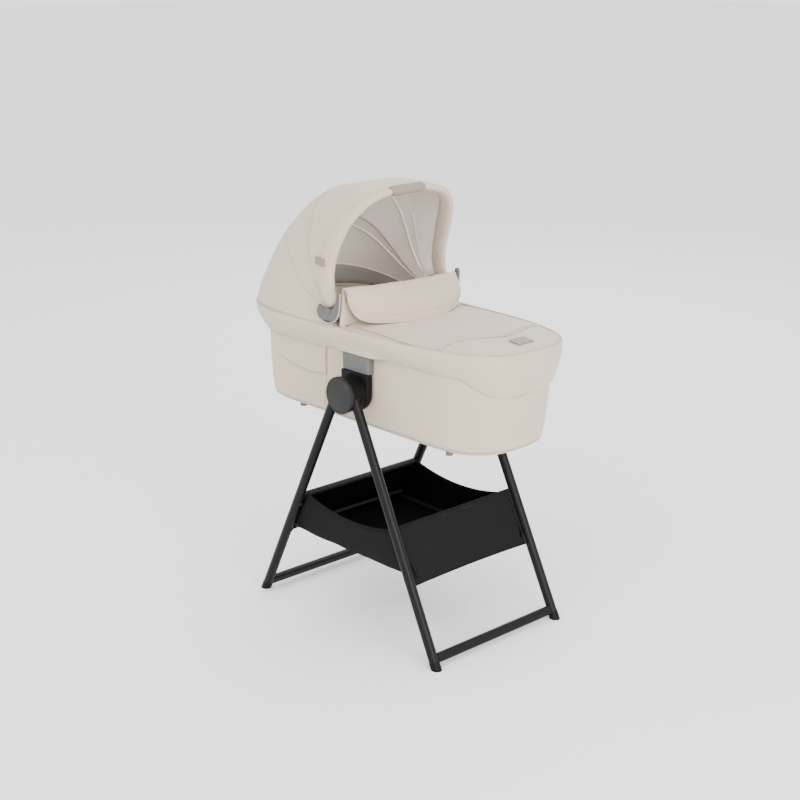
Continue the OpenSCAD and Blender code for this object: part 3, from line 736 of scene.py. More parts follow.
@dataclass
class Stand:
    """The folding A-frame: tubes, foot caps, hubs and the adaptors on them."""

    hub_radius: float = 0.0475
    adaptor_round: float = 0.0035
    nodes: dict = field(default_factory=dict)

    def build(self) -> None:
        """Dress the frame's nodes and add the moulded faces."""
        finishes = {TUBE: ("front_leg_right", "front_leg_left", "rear_leg_right", "rear_leg_left",
                           "front_floor_bar", "rear_floor_bar"),
                    BLACK_PLASTIC: ("front_foot_caps", "rear_foot_caps", "hub_inner_right",
                                    "hub_inner_left"),
                    HUB_PLASTIC: ("hub_outer_right", "hub_outer_left"),
                    STEEL: ("hub_pin_right", "hub_pin_left")}
        for finish, names in finishes.items():
            for name in names:
                dress(self.nodes[name], finish)
        for label, side in SIDES.items():
            self.hub_face(label, side)
            self.adaptor(label, side)
        self.screws()

    def hub_face(self, label: str, side: float) -> None:
        """Build the shallow dished face that covers the hub's pin."""
        centre = box_centre(f"hub_cover_{label}")
        r = self.hub_radius - 0.005
        profile = [(r, -0.0012), (r, 0.0001), (r - 0.0006, 0.0007), (r - 0.002, 0.0009), (r - 0.004, 0.0004),
                   (r - 0.006, 0.0006), (r * 0.6, 0.0011), (r * 0.3, 0.0014), (0.002, 0.0015)]
        face = lathe_y(f"hub_face_{label}", profile, centre, side, HUB_PLASTIC)
        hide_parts(f"hub_cover_{label}")
        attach(face, "rear_frame")

    def adaptor(self, label: str, side: float) -> None:
        """Build the rounded bracket that carries the carrycot, with its tongue."""
        low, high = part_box(f"adaptor_{label}")
        half = (high.x - low.x) / 2
        receiver_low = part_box(f"receiver_{label}")[0]
        top = receiver_low.z - 0.0003
        middle = low.z + half
        arc = [(half * math.cos(a), middle + half * math.sin(a))
               for a in (math.pi + math.pi * k / 24 for k in range(25))]
        outline = [*arc, (half, top), (-half, top)]
        y0, y1 = sorted((low.y, high.y))
        body = extrude_outline(f"adaptor_bracket_{label}", outline, y0, y1, BLACK_PLASTIC,
                               self.adaptor_round)
        tongue_half = half * 0.65
        inner = (low.y if side > 0 else high.y) + side * 0.0016
        ys = sorted((inner, inner + side * 0.008))
        tongue = extrude_outline("tongue", [(-tongue_half, top - 0.002), (tongue_half, top - 0.002),
                                            (tongue_half, high.z - 0.005), (tongue_half - 0.006, high.z),
                                            (-tongue_half + 0.006, high.z), (-tongue_half, high.z - 0.005)],
                                 ys[0], ys[1], BLACK_PLASTIC, 0.001)
        body = join(f"adaptor_bracket_{label}", [body, tongue])
        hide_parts(f"adaptor_{label}")
        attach(body, "front_frame")

    def screws(self) -> None:
        """Dress the rods and the screws that hold the basket."""
        for end in ("front", "rear"):
            for part in ("screws", "rods"):
                dress(self.nodes[f"basket_{end}_{part}"], DARK_ZINC)


# ---------- basket ----------


@dataclass
class Basket:
    """The cloth tub between the legs: two end panels and a sling with sagging sides."""

    cloth: float = 0.0016
    hem: float = 0.0022
    sag: float = 0.026
    belly: float = 0.010

    def build(self) -> None:
        """Build the two end panels and the sling."""
        self.end_panel("front", 1.0, "front_frame", BASKET_CLOTH)
        # The rear panel is seen from inside the tub, so it takes the painted shade cloth.
        self.end_panel("rear", -1.0, "rear_frame", BASKET_SHADE)
        self.sling()

    def end_panel(self, label: str, face: float, body: str, finish: Finish) -> None:
        """Build one flat panel with a hem along its top and bottom.

        Args:
            label: front or rear.
            face: 1 for the front and -1 for the rear.
            body: Body that it rides on.
            finish: Cloth that it takes.
        """
        low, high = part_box(f"basket_{label}_panel")
        near, far = (low.x, high.x) if face < 0 else (high.x, low.x)
        rows = []
        count = 26
        for i in range(count + 1):
            v = i / count
            x, z = mix(near, far, v), mix(low.z, high.z, v)
            row = []
            for k in range(61):
                u = k / 60 * 2 - 1
                dip = -0.004 * (1 - u * u) * max(0.0, 1 - 2 * v)
                bulge = 0.004 * (1 - u ** 4) * math.sin(math.pi * v)
                row.append(Vector((x - face * (0.0012 + bulge), u * high.y, z - dip)))
            rows.append(row)
        panel = grid_piece(f"basket_{label}_cloth", rows, finish, thickness=self.cloth)
        soften(panel, 0.0007, 0.06, seed=3.0 + face)
        hems = [tube("hem", [row_point + Vector((0, 0, 0)) for row_point in rows[i]], self.hem, finish, 8)
                for i in (0, -1)]
        panel = join(panel.name, [panel, *hems])
        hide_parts(f"basket_{label}_panel")
        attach(panel, body)
        for i, offset in ((1, 0.0), (-2, 0.0)):
            path = [p + Vector((face * 0.0006, 0, offset)) for p in rows[i][2:-2]]
            row = stitches(f"basket_{label}_stitches_{'low' if i > 0 else 'top'}", path, finish)
            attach(row, body)

    def sling(self) -> None:
        """Build the floor and sides in one cloth, with bound top edges."""
        low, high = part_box("basket_body")
        front_low, front_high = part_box("basket_front_panel")
        top_x = front_low.x - 0.004
        floor_x = front_high.x - 0.006
        half = high.y
        rows, edges = [], {1.0: [], -1.0: []}
        for i in range(49):
            u = i / 48 * 2 - 1
            rim = high.z - self.sag * (1 - u * u) + 0.004
            floor = low.z + 0.002 - self.belly * (1 - u ** 4) * 0.4
            halves = {side: self.wall(u, side, half, rim, floor, u * top_x, u * floor_x)
                      for side in (-1.0, 1.0)}
            base = [Vector((u * floor_x, y * half, floor - 0.003 * (1 - y * y)))
                    for y in np.linspace(-0.86, 0.86, 22)]
            rows.append(halves[-1.0] + base + halves[1.0][::-1])
            for side in (-1.0, 1.0):
                edges[side].append(halves[side][0])
        sling = grid_piece("basket_sling", rows, BASKET_CLOTH, thickness=self.cloth)
        soften(sling, 0.0016, 0.07, seed=9.0)
        # Painted shade: a near-black sheet just inside the sling stands for the shade that fills the tub.
        inner = [[Vector((p.x * 0.992, p.y * 0.984, p.z + 0.0022 * (1 if abs(p.y) < 0.9 * half else -0.6)))
                  for p in row] for row in rows]
        shade_liner = grid_piece("basket_shade_liner", inner, BASKET_SHADE, thickness=0.0008)
        soften(shade_liner, 0.0016, 0.07, seed=9.0)
        binding = [tube("binding", edges[s], self.hem, BASKET_CLOTH, 8) for s in (-1.0, 1.0)]
        outer = join("basket_binding", binding)
        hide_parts("basket_body")
        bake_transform(sling)
        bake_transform(shade_liner)
        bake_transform(outer)
        for label, side in SIDES.items():
            path = [p + Vector((0, side * 0.0012, -0.007)) for p in edges[side]]
            row = stitches(f"basket_side_stitches_{label}", path, BASKET_CLOTH)
            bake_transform(row)

    @staticmethod
    def wall(u: float, side: float, half: float, rim: float, floor: float, x_top: float,
             x_floor: float) -> list[Vector]:
        """Return one side's points from its top edge down and round into the floor."""
        made = []
        for k in range(11):
            v = k / 10
            inward = 0.001 + 0.004 * v ** 6 - 0.001 * math.sin(math.pi * v) * (1 - u ** 4)
            made.append(Vector((mix(x_top, x_floor, v), side * (half - inward), mix(rim, floor + 0.012, v))))
        made.append(Vector((x_floor, side * (half - 0.0075), floor + 0.004)))
        made.append(Vector((x_floor, side * (half - 0.016), floor + 0.0008)))
        return made


# ---------- carrycot outlines ----------


@dataclass(frozen=True)
class Plan:
    """A plan outline with superelliptic ends.

    It holds the tips, the half width, where the ends begin and how square they are.
    """

    foot: float
    head: float
    half: float
    mid_foot: float
    mid_head: float
    n_foot: float
    n_head: float

    def ring(self, count: int, inset: float = 0.0) -> list[tuple[float, float]]:
        """Return evenly spaced points round the outline, from the head tip along the right side first."""
        dense: list[tuple[float, float]] = []
        for tip, middle, n, sign in ((-self.head + inset, -self.mid_head, self.n_head, -1.0),
                                     (self.foot - inset, self.mid_foot, self.n_foot, 1.0)):
            steps = np.linspace(0, math.pi / 2, 90)
            part = [(middle + (tip - middle) * abs(math.cos(t)) ** (2 / n),
                     -(self.half - inset) * abs(math.sin(t)) ** (2 / n)) for t in steps]
            dense += part if sign < 0 else part[::-1]
        pts = np.array(dense + [(x, -y) for x, y in dense[::-1]])
        gaps = np.hypot(*np.diff(pts, axis=0).T)
        run = np.concatenate([[0], np.cumsum(gaps)])
        even = np.arange(count) / count * run[-1]
        return list(zip(np.interp(even, run, pts[:, 0]), np.interp(even, run, pts[:, 1])))

    def half_at(self, x: float, inset: float = 0.0) -> float:
        """Return half the outline's width at x."""
        if x > self.mid_foot:
            share, n = (x - self.mid_foot) / (self.foot - inset - self.mid_foot), self.n_foot
        elif x < -self.mid_head:
            share, n = (-x - self.mid_head) / (self.head - inset - self.mid_head), self.n_head
        else:
            return self.half - inset
        return (self.half - inset) * max(0.0, 1 - min(1.0, share) ** n) ** (1 / n)


def body_plan(low: float = 0.0) -> Plan:
    """Return the body's outline, tapered towards its bottom as low goes from 0 to 1."""
    a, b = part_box("cot_shell")
    return Plan(b.x - 0.020 * low, -a.x - 0.010 * low, b.y - 0.005 * low, 0.235, 0.235, 2.6, 4.2)


def rim_plan() -> Plan:
    """Return the rim's outline."""
    a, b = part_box("skirt")
    return Plan(b.x, -a.x, b.y, -0.120, 0.140, 3.3, 3.6)


def ring_between(inner: Sequence, outer: Sequence, share: float,
                 z: float | Callable[[float], float]) -> list[Vector]:
    """Return a ring of points a share of the way from one ring to another."""
    made = []
    for (x0, y0), (x1, y1) in zip(inner, outer):
        x, y = mix(x0, x1, share), mix(y0, y1, share)
        made.append(Vector((x, y, z(x) if callable(z) else z)))
    return made


# ---------- carrycot ----------


@dataclass
class Carrycot:
    """The soft tub: cover, side pocket, rim band, lining, mattress and the plastic sockets."""

    around: int = 260
    edge: float = 0.012
    taper_top: float = 0.676
    nodes: dict = field(default_factory=dict)

    def build(self) -> None:
        """Build each soft piece and the plastic on the sides."""
        self.cover()
        self.band()
        self.inside()
        self.mattress()
        dress(self.nodes["base_tray"], OYSTER)
        dress(self.nodes["cot_feet"], SHADED_GREY_PLASTIC)
        dress(self.nodes["rim_frame"], GREY_PLASTIC)
        for label, side in SIDES.items():
            self.receiver(label, side)
            self.pocket(label, side)

    def outline(self, z: float, inset: float = 0.0) -> list[tuple[float, float]]:
        """Return the body's outline at a height."""
        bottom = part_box("cot_shell")[0].z
        low = max(0.0, (self.taper_top - z) / (self.taper_top - bottom))
        return body_plan(low).ring(self.around, inset)

    def cover(self) -> None:
        """Build the cover's outside with a tucked bottom edge."""
        low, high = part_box("cot_shell")
        e = self.edge
        levels = [(low.z - 0.0003, e * 2.2), (low.z, e), (low.z + e * 0.1, e * 0.55),
                  (low.z + e * 0.32, e * 0.27),
                  (low.z + e * 0.62, e * 0.08), (low.z + e, 0.0)]
        levels += [(z, 0.0) for z in np.linspace(low.z + e + 0.008, high.z - 0.004, 30)]
        rows = []
        for z, inset in levels:
            puff = 0.0022 * math.sin(math.pi * min(1.0, (z - low.z) / 0.17)) if inset == 0 else 0.0
            rows.append([Vector((x, y, z)) for x, y in self.outline(z, inset - puff)])
        cover = grid_piece("body_cover", rows, OYSTER, closed=True)
        soften(cover, 0.0012, 0.075, seed=1.0, keep=lambda p: ease((p.z - low.z - 0.02) / 0.03))
        thicken(cover, 0.002, -1.0)
        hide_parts("cot_shell")
        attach(cover, "carrycot")
        hem = [Vector((x, y, low.z + e * 0.25)) for x, y in self.outline(low.z, e * 0.22)]
        piping = tube("bottom_piping", hem, 0.0019, OYSTER_TRIM, 8, closed=True)
        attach(piping, "carrycot")

    def band_bottom(self, x: float) -> float:
        """Return the height of the band's lower edge at x."""
        head_height, rise, drop = 0.711, 0.0125, 0.044
        risen = rise * ease((x + 0.16) / 0.12)
        dropped = drop * ease((x - 0.325) / 0.095)
        return head_height + risen - dropped

    def band(self) -> None:
        """Build the padded band from its tucked lower edge over the rim to the inside."""
        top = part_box("skirt")[1].z
        body = body_plan().ring(self.around, -0.0035)
        tucked = body_plan().ring(self.around, 0.0)
        inner = body_plan().ring(self.around, 0.006)
        rim = rim_plan().ring(self.around, 0.0)
        bottom = self.band_bottom
        keys = [(tucked, rim, 0.0, lambda x: bottom(x) + 0.004),
                (body, rim, 0.0, lambda x: bottom(x) - 0.001),
                (body, rim, 0.10, lambda x: bottom(x) + 0.002),
                (body, rim, 0.40, lambda x: mix(bottom(x), top, 0.22)),
                (body, rim, 0.74, lambda x: mix(bottom(x), top, 0.50)),
                (body, rim, 0.945, lambda x: mix(bottom(x), top, 0.76)), (body, rim, 1.0, top - 0.008),
                (body, rim, 0.975, top + 0.0005), (body, rim, 0.90, top + 0.004),
                (body, rim, 0.70, top + 0.003),
                (body, rim, 0.35, top - 0.004), (inner, rim, 0.05, top - 0.016),
                (inner, rim, 0.0, top - 0.034),
                (inner, rim, 0.0, top - 0.060)]
        rings = [ring_between(*key) for key in keys]
        for ring, clear in zip(rings, (0.0006, 0.0024, 0.0030, 0.0050)):
            self.over_sockets(ring, clear)
        columns = [curve_through([ring[k] for ring in rings], 3) for k in range(self.around)]
        rows = [[column[i] for column in columns] for i in range(len(columns[0]))]
        band = grid_piece("rim_band", rows, OYSTER, closed=True)
        soften(band, 0.0016, 0.06, seed=5.0)
        thicken(band, 0.0016, -1.0)
        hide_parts("skirt")
        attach(band, "carrycot")
        self.rim_ring = rings[8]
        edge = [p + Vector((0, 0, 0.0004)) for p in rings[1]]
        hem = tube("band_hem", edge, 0.0014, OYSTER_TRIM, 6, closed=True)
        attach(hem, "carrycot")

    @staticmethod
    def over_sockets(ring: list[Vector], clear: float) -> None:
        """Push a ring of the band out where it passes over the sockets on the sides."""
        low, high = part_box("receiver_left")
        for p in ring:
            near = 1 - ease((abs(p.x - (low.x + high.x) / 2) - (high.x - low.x) / 2 - 0.006) / 0.05)
            p.y = math.copysign(max(abs(p.y), mix(abs(p.y), high.y + clear, near)), p.y)

    def inside(self) -> None:
        """Build the jersey lining of the walls."""
        low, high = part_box("lining")
        rows = [[Vector((x, y, z)) for x, y in self.outline(z, 0.0065)]
                for z in np.linspace(low.z, high.z, 14)]
        lining = grid_piece("wall_lining", rows[::-1], LINING, closed=True)
        soften(lining, 0.0012, 0.05, seed=7.0)
        thicken(lining, 0.0012, 0.0)
        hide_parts("lining")
        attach(lining, "carrycot")

    def mattress(self) -> None:
        """Build the mattress as a crowned pad, swollen by a cloth simulation."""
        low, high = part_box("mattress")
        plan = Plan(high.x, -low.x, high.y, 0.235, 0.235, 2.6, 4.2)
        rows = []
        for inset, share in ((0.10, 0.0), (0.02, 0.0), (0.004, 0.1), (0.0, 0.3), (0.0, 0.7), (0.004, 0.9),
                             (0.02, 1.0), (0.10, 1.0)):
            z = mix(low.z + 0.001, high.z - 0.001, share)
            rows.append([Vector((x, y, z)) for x, y in plan.ring(120, inset)])
        count = len(rows[0])
        points = [p for row in rows for p in row]
        faces = [(i * count + k, i * count + (k + 1) % count, (i + 1) * count + (k + 1) % count,
                  (i + 1) * count + k) for i in range(len(rows) - 1) for k in range(count)]
        faces += [tuple(range(count - 1, -1, -1)), tuple((len(rows) - 1) * count + k for k in range(count))]
        pad = mesh_object("mattress_pad", points, faces, LINING)
        clean(pad, recalc=True)
        swell(pad, voxel=0.009, pressure=2.0, cap=0.005)
        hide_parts("mattress")
        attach(pad, "carrycot")

    def receiver(self, label: str, side: float) -> None:
        """Build the rounded socket under the band."""
        low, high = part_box(f"receiver_{label}")
        half = high.x
        inner, outer = (low.y, high.y) if side > 0 else (high.y, low.y)
        rows = []
        for z, grow in ((low.z, -0.0012), (low.z + 0.0015, 0.0), (mix(low.z, high.z, 0.5), 0.0),
                        (high.z, -0.001)):
            ring = []
            for k in range(64):
                a = 2 * math.pi * k / 64
                c, s = math.cos(a), math.sin(a)
                x = (half + grow) * math.copysign(abs(c) ** 0.24, c)
                depth = (math.copysign(abs(s) ** 0.35, s) + 1) / 2
                ring.append(Vector((x, mix(inner, outer + side * grow, depth), z)))
            rows.append(ring)
        points = [p for row in rows for p in row]
        faces = [(i * 64 + k, i * 64 + (k + 1) % 64, (i + 1) * 64 + (k + 1) % 64, (i + 1) * 64 + k)
                 for i in range(3) for k in range(64)]
        faces += [tuple(range(63, -1, -1)), tuple(192 + k for k in range(64))]
        socket = mesh_object(f"socket_{label}", points, faces, GREY_PLASTIC)
        clean(socket, recalc=True)
        smooth_by_angle(socket, 0.6)
        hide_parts(f"receiver_{label}")
        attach(socket, "carrycot")

    def pocket(self, label: str, side: float) -> None:
        """Build the pocket's mouth, its slit and the seams that run from it."""
        def on_wall(x: float, z: float, out: float = 0.0) -> Vector:
            """Return the point of the cover's side at x and z, moved outwards."""
            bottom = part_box("cot_shell")[0].z
            low = max(0.0, (self.taper_top - z) / (self.taper_top - bottom))
            puff = 0.0022 * math.sin(math.pi * min(1.0, (z - bottom) / 0.17))
            return Vector((x, side * (body_plan(low).half_at(x) + out + puff), z))

        slit_x = -0.133
        mouth = [on_wall(x, z, 0.0002) for x, z in
                 curve_2d([(-0.325, 0.655), (-0.276, 0.641), (-0.205, 0.632), (slit_x, 0.640)], 10)]
        seam = [on_wall(x, z, 0.0) for x,
                z in curve_2d([(slit_x, 0.640), (-0.140, 0.600), (-0.148, 0.548)], 8)]
        lines = [tube("mouth", mouth, 0.0011, OYSTER_TRIM, 6), tube("seam", seam, 0.0009, OYSTER_TRIM, 6)]
        piece = join(f"pocket_seams_{label}", lines)
        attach(piece, "carrycot")
        lip = [on_wall(slit_x + 0.0024 * math.sin(math.pi * v), mix(0.640, 0.718, v), 0.0008)
               for v in np.linspace(0, 1, 14)]
        back = [on_wall(slit_x - 0.0026 * math.sin(math.pi * v), mix(0.640, 0.718, v), 0.0008)
                for v in np.linspace(0, 1, 14)]
        lips = join(f"pocket_lips_{label}", [tube("lip", lip, 0.0016, OYSTER_TRIM, 8),
                                             tube("lip", back, 0.0016, OYSTER_TRIM, 8)])
        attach(lips, "carrycot")
        # Painted shadow: a dark flattened tube between the two lips stands for the shade inside the slit.
        gap = tube(f"pocket_shadow_{label}", [(a + b) / 2 for a, b in zip(lip, back)], 0.0019, SHADOW_CLOTH, 8,
                   flat=0.6)
        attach(gap, "carrycot")
        row = stitches(f"pocket_stitches_{label}", [p + Vector((0, side * 0.0004, -0.005)) for p in mouth],
                       OYSTER_TRIM)
        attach(row, "carrycot")


def curve_2d(points: Sequence[tuple[float, float]], steps: int) -> list[tuple[float, float]]:
    """Return a smooth plane curve through points."""
    return [(p.x, p.y) for p in curve_through([(x, y, 0.0) for x, y in points], steps)]


def swell(piece: bpy.types.Object, voxel: float, pressure: float, cap: float, frames: int = 16) -> None:
    """Swell a closed form with a cloth simulation, as padding does.

    Args:
        piece: Closed form, slightly smaller than the pad.
        voxel: Size of the remesh.
        pressure: Pressure inside.
        cap: Furthest that a point may move.
        frames: Steps of the simulation.
    """
    remesh = piece.modifiers.new("remesh", "REMESH")
    remesh.mode = "VOXEL"
    remesh.voxel_size = voxel
    apply_modifiers(piece)
    rest = [v.co.copy() for v in piece.data.vertices]
    cloth = piece.modifiers.new("cloth", "CLOTH")
    cloth.settings.use_pressure = True
    cloth.settings.uniform_pressure_force = pressure
    cloth.settings.effector_weights.gravity = 0.0
    cloth.point_cache.frame_start = 1
    cloth.point_cache.frame_end = frames
    scene = bpy.context.scene
    for number in range(1, frames + 1):
        scene.frame_set(number)
    apply_modifiers(piece)
    scene.frame_set(1)
    for vertex, start in zip(piece.data.vertices, rest):
        move = vertex.co - start
        if move.length > cap:
            vertex.co = start + move * (cap / move.length)
    subdivide(piece, 1)


# ---------- foot cover ----------


@dataclass
class FootCover:
    """The crowned cover over the foot end, with its zip line, piping and blank patch."""

    crown: float = 0.0125
    edge_inset: float = 0.0045
    start_x: float = -0.030
    zip_x: float = 0.282
    patch_x: float = 0.380
    patch_y: float = 0.011
    patch_size: tuple[float, float] = (0.038, 0.052)

    def __post_init__(self) -> None:
        """Read the rim from the frame."""
        self.plan = rim_plan()
        self.edge_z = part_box("skirt")[1].z + 0.0032
        self.tip = self.plan.foot - self.edge_inset - 0.0005

    def height(self, x: float, y: float) -> float:
        """Return the cover's height at a point."""
        half = max(1e-4, self.plan.half_at(x, self.edge_inset))
        across = max(0.0, 1 - min(1.0, abs(y) / half) ** 3.0)
        along = max(0.0, 1 - min(1.0, max(0.0, (x - 0.05) / (self.tip - 0.05))) ** 5.0)
        return self.edge_z + self.crown * across ** 0.8 * along ** 0.8

    def on_top(self, x: float, y: float, out: float = 0.0) -> Vector:
        """Return the point of the cover's top at x and y, raised by out."""
        return Vector((x, y, self.height(x, y) + out))

    def build(self) -> None:
        """Build the cover and what is sewn to it."""
        rows = []
        for i in range(64):
            x = self.tip - (self.tip - self.start_x) * (1 - i / 63) ** 2.0
            half = self.plan.half_at(x, self.edge_inset)
            rows.append([self.on_top(x, half * math.sin(math.pi / 2 * v)) for v in np.linspace(-1, 1, 65)])
        cover = grid_piece("foot_cover", rows, OYSTER)
        soften(cover, 0.0016, 0.09, seed=11.0)
        thicken(cover, 0.0022, 1.0)
        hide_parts("apron")
        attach(cover, "carrycot")
        self.piping()
        self.side_seams()
        self.zip_line()
        self.patch()

    def piping(self) -> None:
        """Build the piping between the cover and the band."""
        ring = [Vector((x, y, self.edge_z + 0.0008)) for x,
                y in self.plan.ring(320, self.edge_inset - 0.0008)
                if x > self.start_x]
        start = max(range(len(ring)), key=lambda i: (ring[i] - ring[i - 1]).length)
        path = ring[start:] + ring[:start]
        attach(tube("cover_piping", path, 0.0016, OYSTER_TRIM, 8), "carrycot")
        inner = [self.on_top(p.x * (1 - 0.010 / max(p.length, 0.1)), p.y * 0.955, 0.0012)
                 for p in path[4:-4]]
        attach(stitches("cover_stitches", inner, OYSTER_TRIM, thread=0.0003), "carrycot")

    def side_seams(self) -> None:
        """Build the piped seams that run beside the band and meet it at the zip."""
        parts = []
        for side in (-1.0, 1.0):
            path = []
            for x in np.linspace(0.012, self.zip_x + 0.008, 50):
                inset = mix(0.024, self.edge_inset, ease((x - 0.03) / 0.23)) + 0.0005
                path.append(self.on_top(x, side * self.plan.half_at(x, inset), 0.0016))
            parts.append(tube("side_seam", path, 0.0013, OYSTER_TRIM, 8))
        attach(join("cover_side_seams", parts), "carrycot")

    def zip_path(self, y: float) -> float:
        """Return where the zip lies at y: a wave that swings towards the foot past the middle."""
        crest_y, reach, end_turn = 0.026, 0.042, 0.011
        width = 0.075 if y < crest_y else 0.095
        swing = math.exp(-((y - crest_y) / width) ** 2)
        return self.zip_x + reach * swing + end_turn * ease((abs(y) - 0.12) / 0.08)

    def zip_line(self) -> None:
        """Build the welt, a dark strip of painted shadow over the covered chain, and the two pullers."""
        ys = np.linspace(-0.985, 0.985, 64) * self.plan.half_at(self.zip_x, self.edge_inset)
        chain = [self.on_top(self.zip_path(y) + 0.0012, y, 0.0012) for y in ys]
        # Painted shadow: a dark flattened tube along the zip stands for the shade in the gap between the
        # welts.
        chain_shadow_strip = tube("zip_shadow", chain, 0.0013, SHADOW_CLOTH, 8, flat=0.6)
        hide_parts("zip_chain")
        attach(chain_shadow_strip, "carrycot")
        welts = [tube("welt", [self.on_top(self.zip_path(y) + dx, y, 0.0014) for y in ys], r, OYSTER, 8)
                 for dx, r in ((-0.0016, 0.0021), (0.0040, 0.0016))]
        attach(join("zip_welt", welts), "carrycot")
        for dx, label in ((-0.0065, "head"), (0.0085, "foot")):
            row = stitches(f"zip_stitches_{label}",
                           [self.on_top(self.zip_path(y) + dx, y, 0.0019) for y in ys],
                           OYSTER_TRIM, thread=0.0003)
            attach(row, "carrycot")
        pulls = []
        for y in (ys[1], ys[-2]):
            at = self.on_top(self.zip_path(y) + 0.0012, y, 0.0030)
            pulls.append(extrude_outline("pull",
                                         [(at.x - 0.004, at.z - 0.0022), (at.x + 0.004, at.z - 0.0022),
                                                  (at.x + 0.003, at.z + 0.0012),
                                                  (at.x - 0.003, at.z + 0.0012)],
                                         at.y - 0.0045, at.y + 0.0045, STEEL, 0.0008, 2))
        pull = join("zip_pulls", pulls)
        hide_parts("zip_sliders")
        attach(pull, "carrycot")

    def patch(self) -> None:
        """Build the blank leatherette patch with its stitches."""
        w, d = self.patch_size
        skew = 0.06
        rows = [[self.on_top(self.patch_x + u * w / 2, self.patch_y + v * d / 2 - u * skew * w, 0.0023)
                 for v in np.linspace(-1, 1, 15)] for u in np.linspace(-1, 1, 11)]
        patch = grid_piece("blank_patch", rows, TAN, thickness=0.0014)
        bevel(patch, 0.0004, 2)
        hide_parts("label_patch")
        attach(patch, "carrycot")
        inset = 0.88
        loop = [(-inset, -inset), (inset, -inset), (inset, inset), (-inset, inset), (-inset, -inset)]
        path = [self.on_top(self.patch_x + mix(a[0], b[0], t) * w / 2,
                            self.patch_y + mix(a[1], b[1], t) * d / 2 - mix(a[0], b[0], t) * skew * w,
                            0.0033)
                for a, b in zip(loop, loop[1:]) for t in np.linspace(0, 1, 8)[:-1]]
        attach(stitches("patch_stitches", path, OYSTER_TRIM, pitch=0.004, length=0.0026, thread=0.0003),
                "carrycot")


# ---------- wind flap ----------


@dataclass
class WindFlap:
    """The flap that stands behind the foot cover and folds over towards the foot."""

    half: float = 0.190
    crest: float = 0.881
    columns: int = 81

    def section(self, u: float) -> list[Vector]:
        """Return the flap's section at a share u of its half width, from foot over crest to hem."""
        c = 1 - u * u
        y = u * self.half
        crest = self.crest - 0.004 * (1 - c) - 0.006 * u - 0.030 * max(0.0, (u - 0.93) / 0.07) ** 2.5
        square = 13.0 if u < 0 else 6.0
        reach = (1 - min(1.0, abs(u) ** square)) ** (1 / 2.4)
        low_z = mix(crest - 0.012, mix(0.806, 0.7985, c), reach)
        low_x = mix(-0.010, mix(0.010, 0.074, c), reach)
        return [Vector((mix(-0.022, -0.018, c), y, 0.792)), Vector((mix(-0.026, -0.014, c), y, 0.835)),
                Vector((mix(-0.030, -0.009, c), y, crest - 0.010)),
                Vector((mix(-0.026, 0.000, c), y, crest)),
                Vector((mix(-0.017, 0.014, c), y, crest - 0.003)),
                Vector((mix(mix(-0.017, 0.014, c), low_x, 0.48), y, mix(crest, low_z, 0.32))),
                Vector((mix(mix(-0.017, 0.014, c), low_x, 0.84), y, mix(crest, low_z, 0.66))),
                Vector((low_x, y, low_z))]

    def build(self) -> None:
        """Build the flap as one cloth with a turned hem."""
        columns = [curve_through(self.section(u), 5)
                   for u in np.sin(np.linspace(-1, 1, self.columns) * math.pi / 2)]
        rows = [[column[i] for column in columns] for i in range(len(columns[0]))]
        flap = grid_piece("wind_flap_cloth", rows, OYSTER)
        soften(flap, 0.0026, 0.075, seed=21.0)
        thicken(flap, 0.0045, 1.0)
        hem_path = [column[-1] for column in columns]
        hem = tube("flap_hem", hem_path, 0.0031, OYSTER, 10)
        flap = join("wind_flap_cloth", [flap, hem])
        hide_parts("wind_flap", "flap_base")
        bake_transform(flap)
        self.gussets()
        row = [column[-4] + Vector((0.0042, 0, 0.001)) for column in columns[6:-6]]
        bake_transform(stitches("flap_stitches", row, OYSTER_TRIM, thread=0.0003))


    def gussets(self) -> None:
        """Build the soft strips that stand between the flap's ends and the housings."""
        parts = []
        for side in (-1.0, 1.0):
            path = [Vector((mix(-0.027, -0.029, v), side * mix(0.1925, 0.1905, v),
                            mix(0.784, self.crest - 0.010, v)))
                    for v in np.linspace(0, 1, 24)]
            shape = [0.0062 * math.sqrt(max(0.04, 1 - max(0.0, (v - 0.88) / 0.12) ** 2))
                     for v in np.linspace(0, 1, 24)]
            parts.append(tube("gusset", path, shape, OYSTER, 16, flat=1.35, ref=Vector((1, 0, 0))))
        gusset = join("flap_gussets", parts)
        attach(gusset, "carrycot")


# ---------- canopy ----------


@dataclass(frozen=True)
class Bow:
    """A canopy bow: angle above the pivot, extra sweep at its foot, radius, half width and squareness."""

    angle: float
    sweep: float
    radius: float
    half: float
    square: float
    pinch: float = 0.011
    late: float = 1.6

    def toward(self, other: "Bow", share: float) -> "Bow":
        """Return the bow a share of the way to another."""
        pairs = zip((self.angle, self.sweep, self.radius, self.half, self.square),
                    (other.angle, other.sweep, other.radius, other.half, other.square))
        return Bow(*(mix(a, b, share) for a, b in pairs))

    def point(self, pivot: Vector, t: float, lift: float = 0.0) -> Vector:
        """Return the point at t, from -1 at the right pivot over the top to 1 at the left."""
        c, s = math.cos(math.pi / 2 * t), math.sin(math.pi / 2 * t)
        r = self.radius * abs(c) ** (2 / self.square)
        foot = 1 - r / self.radius
        y = (self.half + lift - self.pinch * foot) * math.copysign(abs(s) ** (2 / self.square), s)
        a = math.radians(self.angle + self.sweep * foot ** self.late)
        r *= (self.radius + lift) / self.radius
        return Vector((pivot.x + r * math.cos(a), y, pivot.z + r * math.sin(a)))


